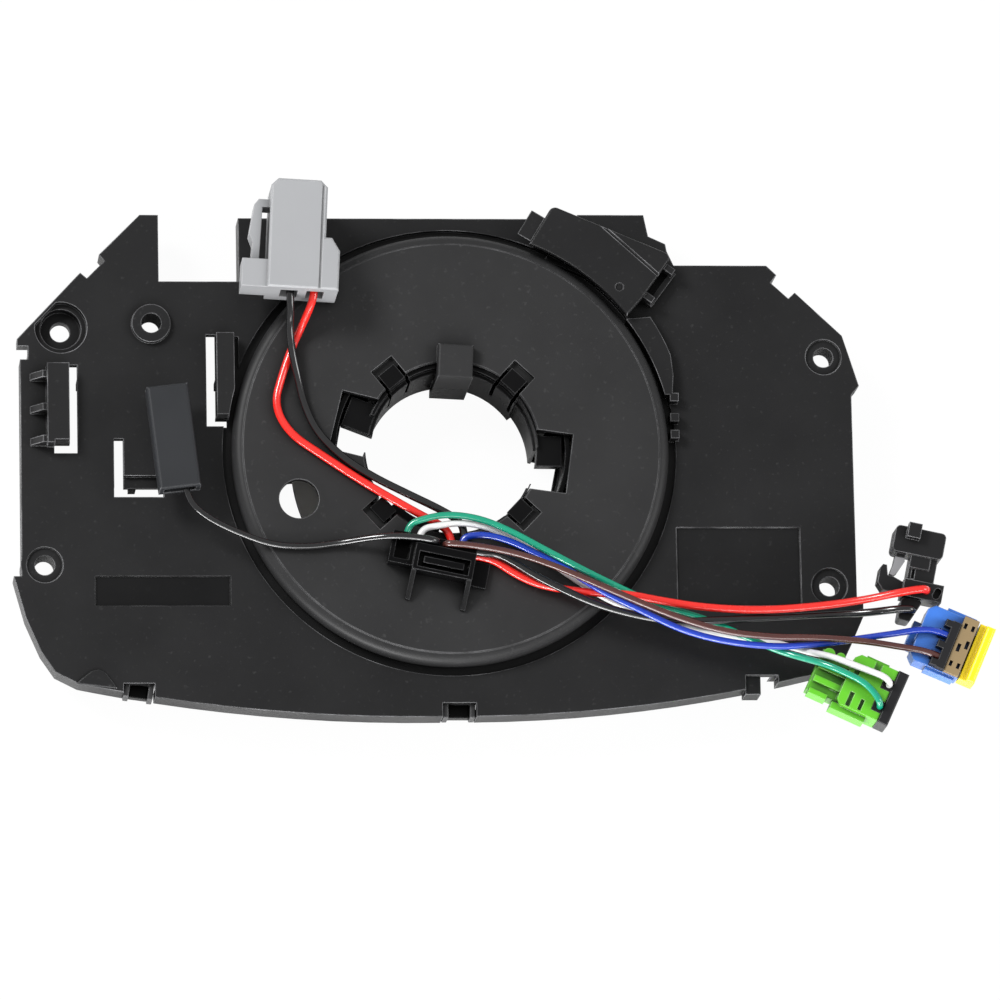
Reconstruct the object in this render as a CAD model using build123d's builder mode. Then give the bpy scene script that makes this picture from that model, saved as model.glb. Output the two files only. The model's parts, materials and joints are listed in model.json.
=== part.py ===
from build123d import *
import math
import os

# Steering clock spring: a moulded plate that stays on the steering column, a rotor that
# turns with the steering wheel, a flat cable wound between them, and the plugs on the rotor.
# Millimetres. Z points at the driver. The origin is on the column's axis, on the front
# face of the plate. X points right and Y up, as the unit sits in the car.

os.makedirs("parts", exist_ok=True)

# Mounting plate, sizes from the column's axis
skin = 2.5
skirt_depth = 8.0
skirt_wall = 2.0
plate_left = 97.2
plate_right = 92.2
plate_top = 54.4
shoulder_top = 43.6
plate_bottom = 60.9
left_corner_y = 53.2
left_corner_x = 84.7
right_corner_y = 50.9
right_corner_x = 83.9
wheel_notch_left = 65.6
wheel_notch_right = 47.4
wheel_notch_floor = 39.6
rib_thickness = 1.6
rib_depth = 5.0

# Screw holes: centre of each, with the bore and the round seat about it
screw_radius = 2.25
screw_boss_radius = 5.4
upper_left_screw = (-87.9, 28.8)
raised_screw = (-67.5, 29.6)
lower_left_screw = (-92.0, -26.0)
right_screw_x = 86.0
right_screw_upper_y = 22.2
right_screw_spacing = 53.2
wide_seat_radius = 5.9
wide_seat_depth = 1.8
deep_seat_radius = 4.6
deep_seat_depth = 5.0
corner_skirt_depth = 4.2
raised_boss_radius = 4.4
raised_boss_height = 1.4
ring_seat_radius = 4.1
ring_seat_depth = 0.7

# The turning disc sets the radii of the cassette and of the box beside it
rotor_radius = 49.6
disc_gap = 1.2
follow_radius = rotor_radius + disc_gap

# Round cassette that holds the flat cable
drum_inner_radius = rotor_radius - 3.6
drum_wall = 1.6
drum_top = 2.0
drum_bottom = -13.5
moat_radius = rotor_radius + 2.0
moat_depth = 1.4
moat_floor = 2.6

# Rear cover of the cassette
cover_thickness = 1.5
cover_opening_radius = 26.5
sight_radius = 7.6
cover_lip_height = 2.0
cover_lip_wall = 1.4
cover_fit = 0.08

# Rotor: front disc
rotor_top = 5.0
rotor_thickness = 2.0
rotor_skirt_wall = 1.6
rotor_skirt_bottom = -0.9
rotor_bore_radius = 19.9
collar_wall = 2.0
collar_bottom = -1.0
rim_line_radius = rotor_radius - 2.4
window_radius = 4.5
window_centre_radius = 36.7
window_angle = 198.8

# Rotor: hub that clips into the disc from behind
column_bore_radius = 18.0
hub_wall = 1.8
hub_bottom = -14.8
hub_top = 3.8
flange_radius = 35.3
flange_top = -12.0
flange_thickness = 1.2
spool_radius = 27.2
spool_wall = 1.2
spool_top = 2.7
counterbore_radius = 18.9
counterbore_floor = 2.2
thin_wall_radius = 19.1
thin_wall_top = -1.2
thick_wall_start = 36.0
thick_wall_end = 172.0
hub_fit = 0.1

# Driving key, catches and stop notches round the bore
rotor_tilt = -11.0
key_angle = 98.0
key_width = 8.0
key_inner_radius = 15.6
key_outer_radius = 23.4
key_top = 8.0
key_split = -4.0
catch_angles = (58.0, 140.0, 233.0, 327.5)
catch_width = 4.6
catch_stem = 1.3
catch_pocket_width = 6.0
catch_pocket_outer = 24.9
catch_barb = 1.9
catch_slot_width = 0.8
catch_slot_bottom = -8.0
notch_half_angle = 87.0
notch_axis = 90.0
notch_width = 13.8
notch_outer_radius = 27.0
stop_width = 7.0
stop_outer_radius = 25.2
stop_offset = 7.2
stop_top = 2.4
stop_thickness = 3.0
port_width = 8.8
port_outer_radius = 25.0
port_offset = 3.6

# Guide that holds the leads where they leave the rotor
guide_centre = (-2.6, 22.3 - rotor_radius)
guide_turn = -11.7
guide_width = 13.8
guide_depth = 6.2
guide_height = 5.5
guide_slot_width = 9.2
guide_slot_height = 1.5
guide_leg_length = 6.2
guide_leg_thickness = 1.1
post_width = 5.6
post_depth = 7.4
post_height = 4.2
post_wall = 1.1

# Box over the end of the flat cable
box_height = 4.5
box_wall = 1.6
lid_thickness = 1.4
lid_overlap = 0.9
socket_turn = -23.0
socket_centre_radius = follow_radius + 6.3
socket_angle = 51.4
socket_width = 24.0
socket_depth = 10.0
socket_wall = 1.4
socket_bottom = -13.6
pin_count = 7
pin_pitch = 2.8
pin_side = 0.9
pin_top = 3.2
pin_bottom = -8.5
pin_fit = 0.05

# Flat cable
cable_top = -1.2
cable_bottom = -11.2
turn_pitch = 0.62
tape_thickness = 0.36
outer_turns = 5
inner_turns = 3
cable_outer_radius = drum_inner_radius - 0.5
cable_inner_radius = 27.7

# Leads
thick_lead = 1.8
thin_lead = 1.5
minimum_run_share = 0.45


def polar(radius, angle):
    """Point at a radius and an angle in degrees about the column's axis."""
    return (radius * math.cos(math.radians(angle)), radius * math.sin(math.radians(angle)))


def turned(centre, angle, x, y):
    """Point (x, y) of a piece that is turned by an angle about its own centre."""
    c = math.cos(math.radians(angle))
    s = math.sin(math.radians(angle))
    return (centre[0] + c * x - s * y, centre[1] + s * x + c * y)


def plate_edge():
    """Outline of the plate: straight edges above, one long bow below."""
    edge = [
        (right_corner_x, -right_corner_y),
        (plate_right - 4.0, 1.4 - right_corner_y),
        (plate_right - 1.8, 5.8 - right_corner_y),
        (plate_right + 1.4, -38.0),
        (plate_right + 1.4, -33.6),
        (plate_right, -33.6),
        (plate_right, 13.4),
        (plate_right + 1.8, 15.5),
        (plate_right - 1.8, 27.2),
        (79.8, 37.3),
        (78.3, 35.9),
        (74.3, 39.6),
        (75.7, 41.4),
        (73.4, shoulder_top),
        (52.1, shoulder_top),
        (50.6, 46.9),
        (50.3, 48.6),
        (46.4, 50.4),
        (45.4, plate_top + 1.0),
        (30.2, plate_top + 1.0),
        (30.2, plate_top),
        (-wheel_notch_right, plate_top),
        (-wheel_notch_right, wheel_notch_floor),
        (-wheel_notch_left, wheel_notch_floor),
        (-wheel_notch_left, plate_top + 0.7),
        (-wheel_notch_left - 4.2, plate_top + 0.7),
        (-79.1, 45.8),
        (-77.9, 44.3),
        (-81.9, 40.3),
        (-83.4, 41.6),
        (-plate_left - 0.7, 26.1),
        (-plate_left - 0.7, 24.5),
        (-plate_left + 1.8, 24.5),
        (-plate_left + 1.8, 21.4),
        (-plate_left, 21.4),
        (-plate_left, -28.6),
        (-plate_left - 1.8, -28.6),
        (-plate_left + 0.8, -38.1),
        (-plate_left + 4.2, -45.9),
        (-plate_left + 7.4, 2.6 - left_corner_y),
        (-left_corner_x, -left_corner_y),
    ]
    Polyline(edge)
    ThreePointArc(edge[-1], (-0.53 * left_corner_x, 1.7 - plate_bottom), (0, -plate_bottom))
    ThreePointArc((0, -plate_bottom), (0.53 * right_corner_x, 2.6 - plate_bottom), edge[0])


def lid_edge():
    """Outline of the lid: square to the disc outside, round where it follows the disc."""
    Polyline(
        polar(follow_radius, 37.0),
        polar(follow_radius + 4.9, 38.0),
        polar(follow_radius + 17.2, 41.0),
        polar(follow_radius + 10.3, 66.9),
        polar(follow_radius, 68.6),
    )
    RadiusArc(polar(follow_radius, 68.6), polar(follow_radius, 37.0), follow_radius)


# Mounting plate
screws = [
    upper_left_screw,
    raised_screw,
    lower_left_screw,
    (right_screw_x, right_screw_upper_y),
    (right_screw_x, right_screw_upper_y - right_screw_spacing),
]
socket_centre = polar(socket_centre_radius, socket_angle)
drum_outer_radius = drum_inner_radius + drum_wall
moat_wall_radius = moat_radius + 2.0
latch_left_edge = -91.3
latch_right_edge = -86.3

with BuildPart() as mounting_plate:
    with BuildSketch():
        with BuildLine():
            plate_edge()
        make_face()
    extrude(amount=-skirt_depth)
    with BuildSketch(Plane.XY.offset(-skin)):
        with BuildLine():
            plate_edge()
        make_face()
        offset(amount=-skirt_wall, kind=Kind.INTERSECTION)
    extrude(amount=-skirt_depth, mode=Mode.SUBTRACT)

    # Ribs that brace the skin from the cassette to the skirt
    with BuildSketch(Plane.XY.offset(-skin)):
        for rib_x in (-72.0, -rotor_radius - 7.9, rotor_radius + 7.9, 76.0):
            with Locations((rib_x, -4.5)):
                Rectangle(rib_thickness, 96.0)
        for rib_y in (-38.5, 16.5):
            with Locations((-70.0, rib_y), (70.0, rib_y)):
                Rectangle(56.0, rib_thickness)
        with BuildLine():
            plate_edge()
        make_face(mode=Mode.INTERSECT)
    extrude(amount=-rib_depth)

    # Bosses round the screws, the walls of the cassette and its moat
    with BuildSketch():
        with Locations(*screws):
            Circle(screw_boss_radius)
    extrude(amount=-skirt_depth)
    with BuildSketch():
        with Locations(upper_left_screw):
            Circle(wide_seat_radius + 1.4)
        with BuildLine():
            plate_edge()
        make_face(mode=Mode.INTERSECT)
    extrude(amount=-skirt_depth)
    with BuildSketch():
        with Locations(raised_screw):
            Circle(raised_boss_radius)
    extrude(amount=raised_boss_height)
    with BuildSketch():
        Circle(moat_wall_radius)
    extrude(amount=-moat_depth - moat_floor)
    with BuildSketch():
        Circle(moat_radius)
    extrude(amount=-moat_depth, mode=Mode.SUBTRACT)
    with BuildSketch(Plane.XY.offset(drum_bottom)):
        Circle(drum_outer_radius)
    extrude(amount=drum_top - drum_bottom)
    with BuildSketch(Plane.XY.offset(drum_bottom)):
        Circle(drum_inner_radius)
    extrude(amount=drum_top - drum_bottom, mode=Mode.SUBTRACT)

    # Box for the end of the flat cable, open behind its lid
    with BuildSketch():
        with BuildLine():
            lid_edge()
        make_face()
        offset(amount=-lid_overlap, kind=Kind.INTERSECTION)
    extrude(amount=box_height)
    with BuildSketch():
        with BuildLine():
            lid_edge()
        make_face()
        offset(amount=-lid_overlap - box_wall, kind=Kind.INTERSECTION)
    extrude(amount=box_height, mode=Mode.SUBTRACT)

    # Crescent beside the disc, with three rungs below it
    crescent_inner = rotor_radius + 1.1
    crescent_outer = rotor_radius + 5.9
    with BuildSketch(Plane.XY.offset(-moat_depth)):
        with BuildLine():
            Line(polar(crescent_inner, 36.8), polar(crescent_outer, 33.8))
            ThreePointArc(
                polar(crescent_outer, 33.8),
                polar(crescent_outer - 0.1, 29.0),
                polar(crescent_outer - 0.3, 23.6),
            )
            Polyline(
                polar(crescent_outer - 0.3, 23.6),
                polar(crescent_outer - 1.5, 18.8),
                polar(crescent_outer - 3.1, 14.1),
                polar(crescent_inner, 14.6),
            )
            ThreePointArc(
                polar(crescent_inner, 14.6),
                polar(crescent_inner, 26.0),
                polar(crescent_inner, 36.8),
            )
        make_face()
        for rung_y in (3.6, 7.5, 12.2):
            with Locations((rotor_radius + 1.6, rung_y)):
                Rectangle(2.0, 1.9)
    extrude(amount=moat_depth + 3.0)

    # Left latch: a block over an L-shaped slot, with three gussets
    with BuildSketch():
        with Locations((0.5 * (latch_left_edge + latch_right_edge), 10.4)):
            Rectangle(latch_right_edge - latch_left_edge, 18.4)
    extrude(amount=5.0)
    for gusset_y in (2.2, 9.6, 17.2):
        with BuildSketch(Plane.XZ.offset(-gusset_y)):
            with BuildLine():
                Polyline(
                    (latch_left_edge - 3.6, 0),
                    (latch_left_edge + 0.4, 0),
                    (latch_left_edge + 0.4, 4.4),
                    (latch_left_edge - 1.0, 4.4),
                    (latch_left_edge - 3.6, 0.6),
                    close=True,
                )
            make_face()
        extrude(amount=rib_thickness / 2, both=True)
    with BuildSketch(Plane.XY.offset(-skirt_depth)):
        with Locations((0.5 * (latch_left_edge + latch_right_edge), 11.2)):
            Rectangle(2.6, 14.6)
    extrude(amount=skirt_depth + 3.4, mode=Mode.SUBTRACT)

    # Inner latch beside the disc
    with BuildSketch():
        with Locations((-51.0, 17.0)):
            Rectangle(4.2, 19.6)
        Circle(follow_radius, mode=Mode.SUBTRACT)
    extrude(amount=4.4)

    # Slots of the three latches
    with BuildSketch(Plane.XY.offset(-skirt_depth)):
        with Locations((-85.2, 10.0)):
            Rectangle(1.8, 20.2)
        with Locations((-87.0, 0.8)):
            Rectangle(5.2, 2.2)
        with Locations((-54.0, 16.6)):
            Rectangle(2.1, 21.2)
        with Locations((-52.7, 6.9)):
            Rectangle(4.7, 1.9)
        with Locations((-75.1, -3.6)):
            Rectangle(2.1, 13.3)
        with Locations((-70.6, -9.3)):
            Rectangle(11.2, 2.2)
    extrude(amount=skirt_depth + 6.0, mode=Mode.SUBTRACT)
    with BuildSketch():
        with Locations((-69.9, -6.9)):
            Rectangle(8.4, 2.8)
        with Locations((-48.3, 17.4)):
            Rectangle(1.2, 18.6)
    extrude(amount=-1.4, mode=Mode.SUBTRACT)

    # Bare sunken panels
    with BuildSketch():
        with Locations((-65.4, -32.0)):
            Rectangle(30.4, 6.7)
        with Locations((65.4, -26.5)):
            Rectangle(28.2, 18.0)
    extrude(amount=-0.5, mode=Mode.SUBTRACT)

    # Bores and seats of the screws
    with BuildSketch():
        with BuildLine():
            plate_edge()
        make_face()
        offset(amount=-0.7, kind=Kind.INTERSECTION)
        with Locations(upper_left_screw):
            Circle(wide_seat_radius, mode=Mode.INTERSECT)
    extrude(amount=-wide_seat_depth, mode=Mode.SUBTRACT)
    with BuildSketch():
        with Locations(upper_left_screw):
            Circle(deep_seat_radius)
    extrude(amount=-deep_seat_depth, mode=Mode.SUBTRACT)

    # The skirt is shallow at the small corner beside that seat
    with BuildSketch(Plane.XY.offset(-skirt_depth)):
        with Locations((-plate_left - 0.2, 26.2)):
            Rectangle(6.0, 6.0)
    extrude(amount=skirt_depth - corner_skirt_depth, mode=Mode.SUBTRACT)
    with BuildSketch():
        with Locations(screws[2], screws[3], screws[4]):
            Circle(ring_seat_radius)
    extrude(amount=-ring_seat_depth, mode=Mode.SUBTRACT)
    with BuildSketch(Plane.XY.offset(raised_boss_height)):
        with Locations(*screws):
            Circle(screw_radius)
    extrude(amount=-skirt_depth - raised_boss_height, mode=Mode.SUBTRACT)

    # Three notches in the lower edge, one with a clip tongue
    with BuildSketch(Plane.XY.offset(-skirt_depth)):
        with Locations((-71.0, -56.0)):
            Rectangle(7.0, 5.6)
        with Locations((1.2, -60.4)):
            Rectangle(7.6, 5.2)
        with Locations((70.0, -54.6)):
            Rectangle(7.4, 6.0)
    extrude(amount=skirt_depth, mode=Mode.SUBTRACT)
    with BuildSketch(Plane.XY.offset(-skirt_depth)):
        with Locations((68.0, -53.4)):
            Rectangle(3.5, 5.0)
    extrude(amount=skirt_depth - 0.8)

    # Floor, pin holes and shroud of the vehicle socket behind the box
    with BuildSketch(Plane.XY.offset(socket_bottom)):
        with Locations(Location((socket_centre[0], socket_centre[1], 0), (0, 0, socket_turn))):
            Rectangle(socket_width, socket_depth)
            Rectangle(
                socket_width - 2 * socket_wall, socket_depth - 2 * socket_wall, mode=Mode.SUBTRACT
            )
        Circle(drum_outer_radius - 0.1, mode=Mode.SUBTRACT)
    extrude(amount=-socket_bottom)
    with BuildSketch(Plane.XY.offset(socket_bottom)):
        with Locations(Location((socket_centre[0], socket_centre[1], 0), (0, 0, socket_turn))):
            Rectangle(socket_width - 2 * socket_wall, socket_depth - 2 * socket_wall)
        Circle(drum_outer_radius, mode=Mode.SUBTRACT)
    extrude(amount=-skin - socket_bottom, mode=Mode.SUBTRACT)
    with BuildSketch(Plane.XY.offset(-skin)):
        with Locations(Location((socket_centre[0], socket_centre[1], 0), (0, 0, socket_turn))):
            with GridLocations(pin_pitch, 1, pin_count, 1):
                Rectangle(pin_side + 2 * pin_fit, pin_side + 2 * pin_fit)
    extrude(amount=skin, mode=Mode.SUBTRACT)
mounting_plate.part.label = "mounting_plate"
export_step(mounting_plate.part, "parts/mounting_plate.step")

# Pins that join the flat cable to the vehicle's plug
with BuildPart() as harness_pins:
    with BuildSketch(Plane.XY.offset(pin_bottom)):
        with Locations(Location((socket_centre[0], socket_centre[1], 0), (0, 0, socket_turn))):
            with GridLocations(pin_pitch, 1, pin_count, 1):
                Rectangle(pin_side, pin_side)
    extrude(amount=pin_top - pin_bottom)
harness_pins.part.label = "harness_pins"
export_step(harness_pins.part, "parts/harness_pins.step")

# Lid of the box, with its crease and its two snap loops
lid_bottom = box_height + 0.05
with BuildPart() as box_lid:
    with BuildSketch(Plane.XY.offset(lid_bottom)):
        with BuildLine():
            lid_edge()
        make_face()
    extrude(amount=lid_thickness)
    fillet(box_lid.edges().filter_by(Axis.Z).sort_by(Axis.Y)[-1], radius=1.6)
    fillet(box_lid.edges().filter_by(Axis.Z).sort_by(Axis.X)[-1], radius=1.6)
    fillet(box_lid.faces().sort_by(Axis.Z)[-1].edges(), radius=0.5)
    crease_radius = follow_radius + 11.4
    with BuildSketch(Plane.XY.offset(lid_bottom + lid_thickness)):
        with BuildLine():
            Polyline(
                polar(crease_radius, 56.0),
                polar(crease_radius, 39.0),
                polar(crease_radius + 0.6, 39.1),
                polar(crease_radius + 0.6, 55.9),
                close=True,
            )
        make_face()
        with Locations(polar(follow_radius + 3.0, 43.7)):
            Circle(0.9)
    extrude(amount=-0.35, mode=Mode.SUBTRACT)
    with BuildSketch(Plane.XY.offset(1.0)):
        for loop in (polar(follow_radius + 6.7, 37.5), polar(follow_radius + 14.55, 39.5)):
            with Locations(Location((loop[0], loop[1], 0), (0, 0, 53.3))):
                Rectangle(1.5, 2.6)
    extrude(amount=lid_bottom - 1.0 + 0.6)
    bar_centre = polar(follow_radius + 10.8, 37.5)
    with BuildSketch(Plane.XY.offset(1.0)):
        with Locations(Location((bar_centre[0], bar_centre[1], 0), (0, 0, 53.3))):
            Rectangle(9.6, 1.3)
    extrude(amount=1.6)
    catch_centre = polar(follow_radius + 4.1, 69.5)
    with BuildSketch(Plane.XY.offset(lid_bottom)):
        with Locations(Location((catch_centre[0], catch_centre[1], 0), (0, 0, 58.6))):
            Rectangle(6.4, 3.8)
    extrude(amount=0.9)
box_lid.part.label = "box_lid"
export_step(box_lid.part, "parts/box_lid.step")

# Rear cover of the cassette, with the sight hole below the disc's window
cover_top = drum_bottom
cover_lip_outer = drum_inner_radius - cover_fit
sight_centre = polar(window_centre_radius, window_angle)
with BuildPart() as rear_cover:
    with BuildSketch(Plane.XY.offset(cover_top - cover_thickness)):
        Circle(drum_outer_radius)
        Circle(cover_opening_radius, mode=Mode.SUBTRACT)
        with Locations(sight_centre):
            Circle(sight_radius, mode=Mode.SUBTRACT)
    extrude(amount=cover_thickness)
    with BuildSketch(Plane.XY.offset(cover_top)):
        Circle(cover_lip_outer)
        Circle(cover_lip_outer - cover_lip_wall, mode=Mode.SUBTRACT)
    extrude(amount=cover_lip_height)
    with BuildSketch(Plane.XY.offset(cover_top - cover_thickness)):
        with PolarLocations(0.5 * (cover_opening_radius + drum_outer_radius), 12, start_angle=0):
            Rectangle(12.0, 3.4)
        with Locations(sight_centre):
            Circle(sight_radius + 1.0, mode=Mode.SUBTRACT)
    extrude(amount=0.5, mode=Mode.SUBTRACT)
rear_cover.part.label = "rear_cover"
export_step(rear_cover.part, "parts/rear_cover.step")

# Front disc of the rotor
disc_underside = rotor_top - rotor_thickness
skirt_inner = rotor_radius - rotor_skirt_wall
collar_outer = rotor_bore_radius + collar_wall
left_notch = notch_axis + rotor_tilt + notch_half_angle
right_notch = notch_axis + rotor_tilt - notch_half_angle
with BuildPart() as rotor_disc:
    with BuildSketch(Plane.XZ):
        with BuildLine():
            Polyline(
                (rotor_bore_radius, rotor_top - 0.3),
                (rotor_bore_radius + 0.3, rotor_top),
                (rim_line_radius, rotor_top),
                (rim_line_radius + 0.25, rotor_top - 0.25),
            )
            ThreePointArc(
                (rim_line_radius + 0.25, rotor_top - 0.25),
                (rotor_radius - 0.75, rotor_top - 0.75),
                (rotor_radius, rotor_top - 2.2),
            )
            Polyline(
                (rotor_radius, rotor_top - 2.2),
                (rotor_radius, rotor_skirt_bottom),
                (skirt_inner, rotor_skirt_bottom),
                (skirt_inner, disc_underside),
                (collar_outer, disc_underside),
                (collar_outer, collar_bottom),
                (rotor_bore_radius, collar_bottom),
                (rotor_bore_radius, rotor_top - 0.3),
            )
        make_face()
    revolve(axis=Axis.Z)

    # Driving key over the edge of the bore
    key_direction = rotor_tilt + key_angle
    with BuildSketch(Plane.XY.offset(disc_underside)):
        with Locations(Location((0, 0, 0), (0, 0, key_direction))):
            with Locations((0.5 * (key_inner_radius + key_outer_radius), 0)):
                Rectangle(key_outer_radius - key_inner_radius, key_width)
    extrude(amount=key_top - disc_underside)
    fillet(rotor_disc.faces().sort_by(Axis.Z)[-1].edges(), radius=0.5)
    key_seat_radius = math.sqrt((column_bore_radius - 2 * hub_fit) ** 2 - (key_width / 2) ** 2)
    with BuildSketch(Plane.XY.offset(key_split)):
        with Locations(Location((0, 0, 0), (0, 0, key_direction))):
            with Locations((0.5 * (key_inner_radius + key_seat_radius), 0)):
                Rectangle(key_seat_radius - key_inner_radius, key_width)
    extrude(amount=disc_underside + 0.2 - key_split)

    # Pockets for the hub's catches, each with a sunken seat for the barb
    with BuildSketch(Plane.XY.offset(collar_bottom)):
        for angle in catch_angles:
            with Locations(Location((0, 0, 0), (0, 0, rotor_tilt + angle))):
                with Locations((0.5 * (rotor_bore_radius + collar_outer) - 0.2, 0)):
                    Rectangle(collar_wall + 1.2, catch_pocket_width)
    extrude(amount=rotor_top - collar_bottom, mode=Mode.SUBTRACT)
    with BuildSketch(Plane.XY.offset(rotor_top)):
        for angle in catch_angles:
            with Locations(Location((0, 0, 0), (0, 0, rotor_tilt + angle))):
                with Locations((0.5 * (rotor_bore_radius + catch_pocket_outer), 0)):
                    Rectangle(catch_pocket_outer - rotor_bore_radius, catch_pocket_width)
    extrude(amount=-1.2, mode=Mode.SUBTRACT)

    # Wide notches for the stops and the see-through ports
    with BuildSketch(Plane.XY.offset(collar_bottom)):
        for angle in (left_notch, right_notch):
            with Locations(Location((0, 0, 0), (0, 0, angle))):
                with Locations((0.5 * (notch_outer_radius + rotor_bore_radius) - 1.0, 0)):
                    Rectangle(notch_outer_radius - rotor_bore_radius + 2.0, notch_width)
    extrude(amount=rotor_top - collar_bottom, mode=Mode.SUBTRACT)

    # Round window over the flat cable
    with BuildSketch(Plane.XY.offset(disc_underside)):
        with Locations(polar(window_centre_radius, window_angle)):
            Circle(window_radius)
    extrude(amount=rotor_thickness, mode=Mode.SUBTRACT)
rotor_disc.part.label = "rotor_disc"
export_step(rotor_disc.part, "parts/rotor_disc.step")

# Hub of the rotor
hub_outer = column_bore_radius + hub_wall
flange_bottom = flange_top - flange_thickness
seat_height = rotor_top - 1.2
with BuildPart() as rotor_hub:
    with BuildSketch(Plane.XY.offset(hub_bottom)):
        Circle(hub_outer)
    extrude(amount=hub_top - hub_bottom)
    with BuildSketch(Plane.XY.offset(flange_bottom)):
        Circle(flange_radius)
    extrude(amount=flange_thickness)
    with BuildSketch(Plane.XY.offset(flange_top)):
        Circle(spool_radius)
        Circle(spool_radius - spool_wall, mode=Mode.SUBTRACT)
    extrude(amount=spool_top - flange_top)

    # Catches with barbs that lie in the seats of the disc
    for angle in catch_angles:
        catch_direction = rotor_tilt + angle
        with BuildSketch(Plane.XY.offset(flange_top)):
            with Locations(Location((0, 0, 0), (0, 0, catch_direction))):
                with Locations((hub_outer + 0.5 * catch_stem - 0.3, 0)):
                    Rectangle(catch_stem + 0.6, catch_width)
        extrude(amount=seat_height + 0.9 - flange_top)
        with BuildSketch(Plane.XY.offset(seat_height + hub_fit)):
            with Locations(Location((0, 0, 0), (0, 0, catch_direction))):
                with Locations((hub_outer + catch_stem + 0.5 * catch_barb, 0)):
                    Rectangle(catch_barb + 0.4, catch_width)
        extrude(amount=0.9 - hub_fit)

    # Slots that free each catch, open into the bore
    with BuildSketch(Plane.XY.offset(catch_slot_bottom)):
        for angle in catch_angles:
            slot_offset = 0.5 * (catch_width + catch_slot_width)
            with Locations(Location((0, 0, 0), (0, 0, rotor_tilt + angle))):
                with Locations((hub_outer - 0.5, slot_offset), (hub_outer - 0.5, -slot_offset)):
                    Rectangle(4.0, catch_slot_width)
    extrude(amount=hub_top - catch_slot_bottom, mode=Mode.SUBTRACT)

    # Ports that open the bore into the two wide notches, each partly bridged by a stop
    for angle, side in ((left_notch, -1), (right_notch, 1)):
        with BuildSketch(Plane.XY.offset(hub_bottom)):
            with Locations(Location((0, 0, 0), (0, 0, angle - side * port_offset))):
                with Locations((0.5 * (column_bore_radius - 2.0 + port_outer_radius), 0)):
                    Rectangle(port_outer_radius - column_bore_radius + 2.0, port_width)
        extrude(amount=hub_top - hub_bottom, mode=Mode.SUBTRACT)
        with BuildSketch(Plane.XY.offset(stop_top)):
            with Locations(Location((0, 0, 0), (0, 0, angle + side * stop_offset))):
                with Locations((0.5 * (column_bore_radius - 0.4 + stop_outer_radius), 0)):
                    Rectangle(stop_outer_radius - column_bore_radius + 0.4, stop_width)
        extrude(amount=-stop_thickness)

    # Column bore with its counterbore, and the lower part of the key in it
    with BuildSketch(Plane.XY.offset(hub_bottom)):
        Circle(column_bore_radius)
    extrude(amount=hub_top - hub_bottom, mode=Mode.SUBTRACT)
    with BuildSketch(Plane.XY.offset(counterbore_floor)):
        Circle(counterbore_radius)
    extrude(amount=hub_top - counterbore_floor, mode=Mode.SUBTRACT)

    # The wall of the bore is thin and low below the catches, thick only round the key
    with BuildSketch(Plane.XY.offset(hub_bottom)):
        Circle(thin_wall_radius)
        with BuildLine():
            thick_wall_middle = 0.5 * (thick_wall_start + thick_wall_end)
            Polyline(
                (0, 0),
                polar(2 * hub_outer, thick_wall_start),
                polar(4 * hub_outer, thick_wall_middle),
                polar(2 * hub_outer, thick_wall_end),
                close=True,
            )
        make_face(mode=Mode.SUBTRACT)
    extrude(amount=hub_top - hub_bottom, mode=Mode.SUBTRACT)
    with BuildSketch(Plane.XY.offset(thin_wall_top)):
        Circle(hub_outer - 0.3)
        with BuildLine():
            Polyline(
                (0, 0),
                polar(2 * hub_outer, thick_wall_start),
                polar(4 * hub_outer, thick_wall_middle),
                polar(2 * hub_outer, thick_wall_end),
                close=True,
            )
        make_face(mode=Mode.SUBTRACT)
    extrude(amount=hub_top - thin_wall_top, mode=Mode.SUBTRACT)
    with BuildSketch(Plane.XY.offset(hub_bottom)):
        with Locations(Location((0, 0, 0), (0, 0, key_direction))):
            with Locations((0.5 * (key_inner_radius + column_bore_radius + 0.4), 0)):
                Rectangle(column_bore_radius + 0.4 - key_inner_radius, key_width)
    extrude(amount=key_split - hub_fit - hub_bottom)
    with BuildSketch(Plane.XY.offset(disc_underside - hub_fit)):
        with Locations(Location((0, 0, 0), (0, 0, key_direction))):
            with Locations((hub_outer, 0)):
                Rectangle(6.0, key_width + 2 * hub_fit)
    extrude(amount=hub_top, mode=Mode.SUBTRACT)
rotor_hub.part.label = "rotor_hub"
export_step(rotor_hub.part, "parts/rotor_hub.step")

# Flat cable: turns against the cassette's wall, one long bend, turns on the spool
def half_turns(radius, step, count):
    """Half circles whose centres alternate, so that each turn lies beside the last."""
    turns = []
    for index in range(count):
        lower = index % 2
        turns.append((radius + index * step / 2, lower * step / 2, lower))
    return turns


def tape_arc(radius, centre_x, lower):
    """One half turn of the tape as a band of its own thickness."""
    sign = -1 if lower else 1
    outer = radius + tape_thickness / 2
    inner = radius - tape_thickness / 2
    ThreePointArc((centre_x + outer, 0), (centre_x, sign * outer), (centre_x - outer, 0))
    Line((centre_x - outer, 0), (centre_x - inner, 0))
    ThreePointArc((centre_x - inner, 0), (centre_x, sign * inner), (centre_x + inner, 0))
    Line((centre_x + inner, 0), (centre_x + outer, 0))


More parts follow.
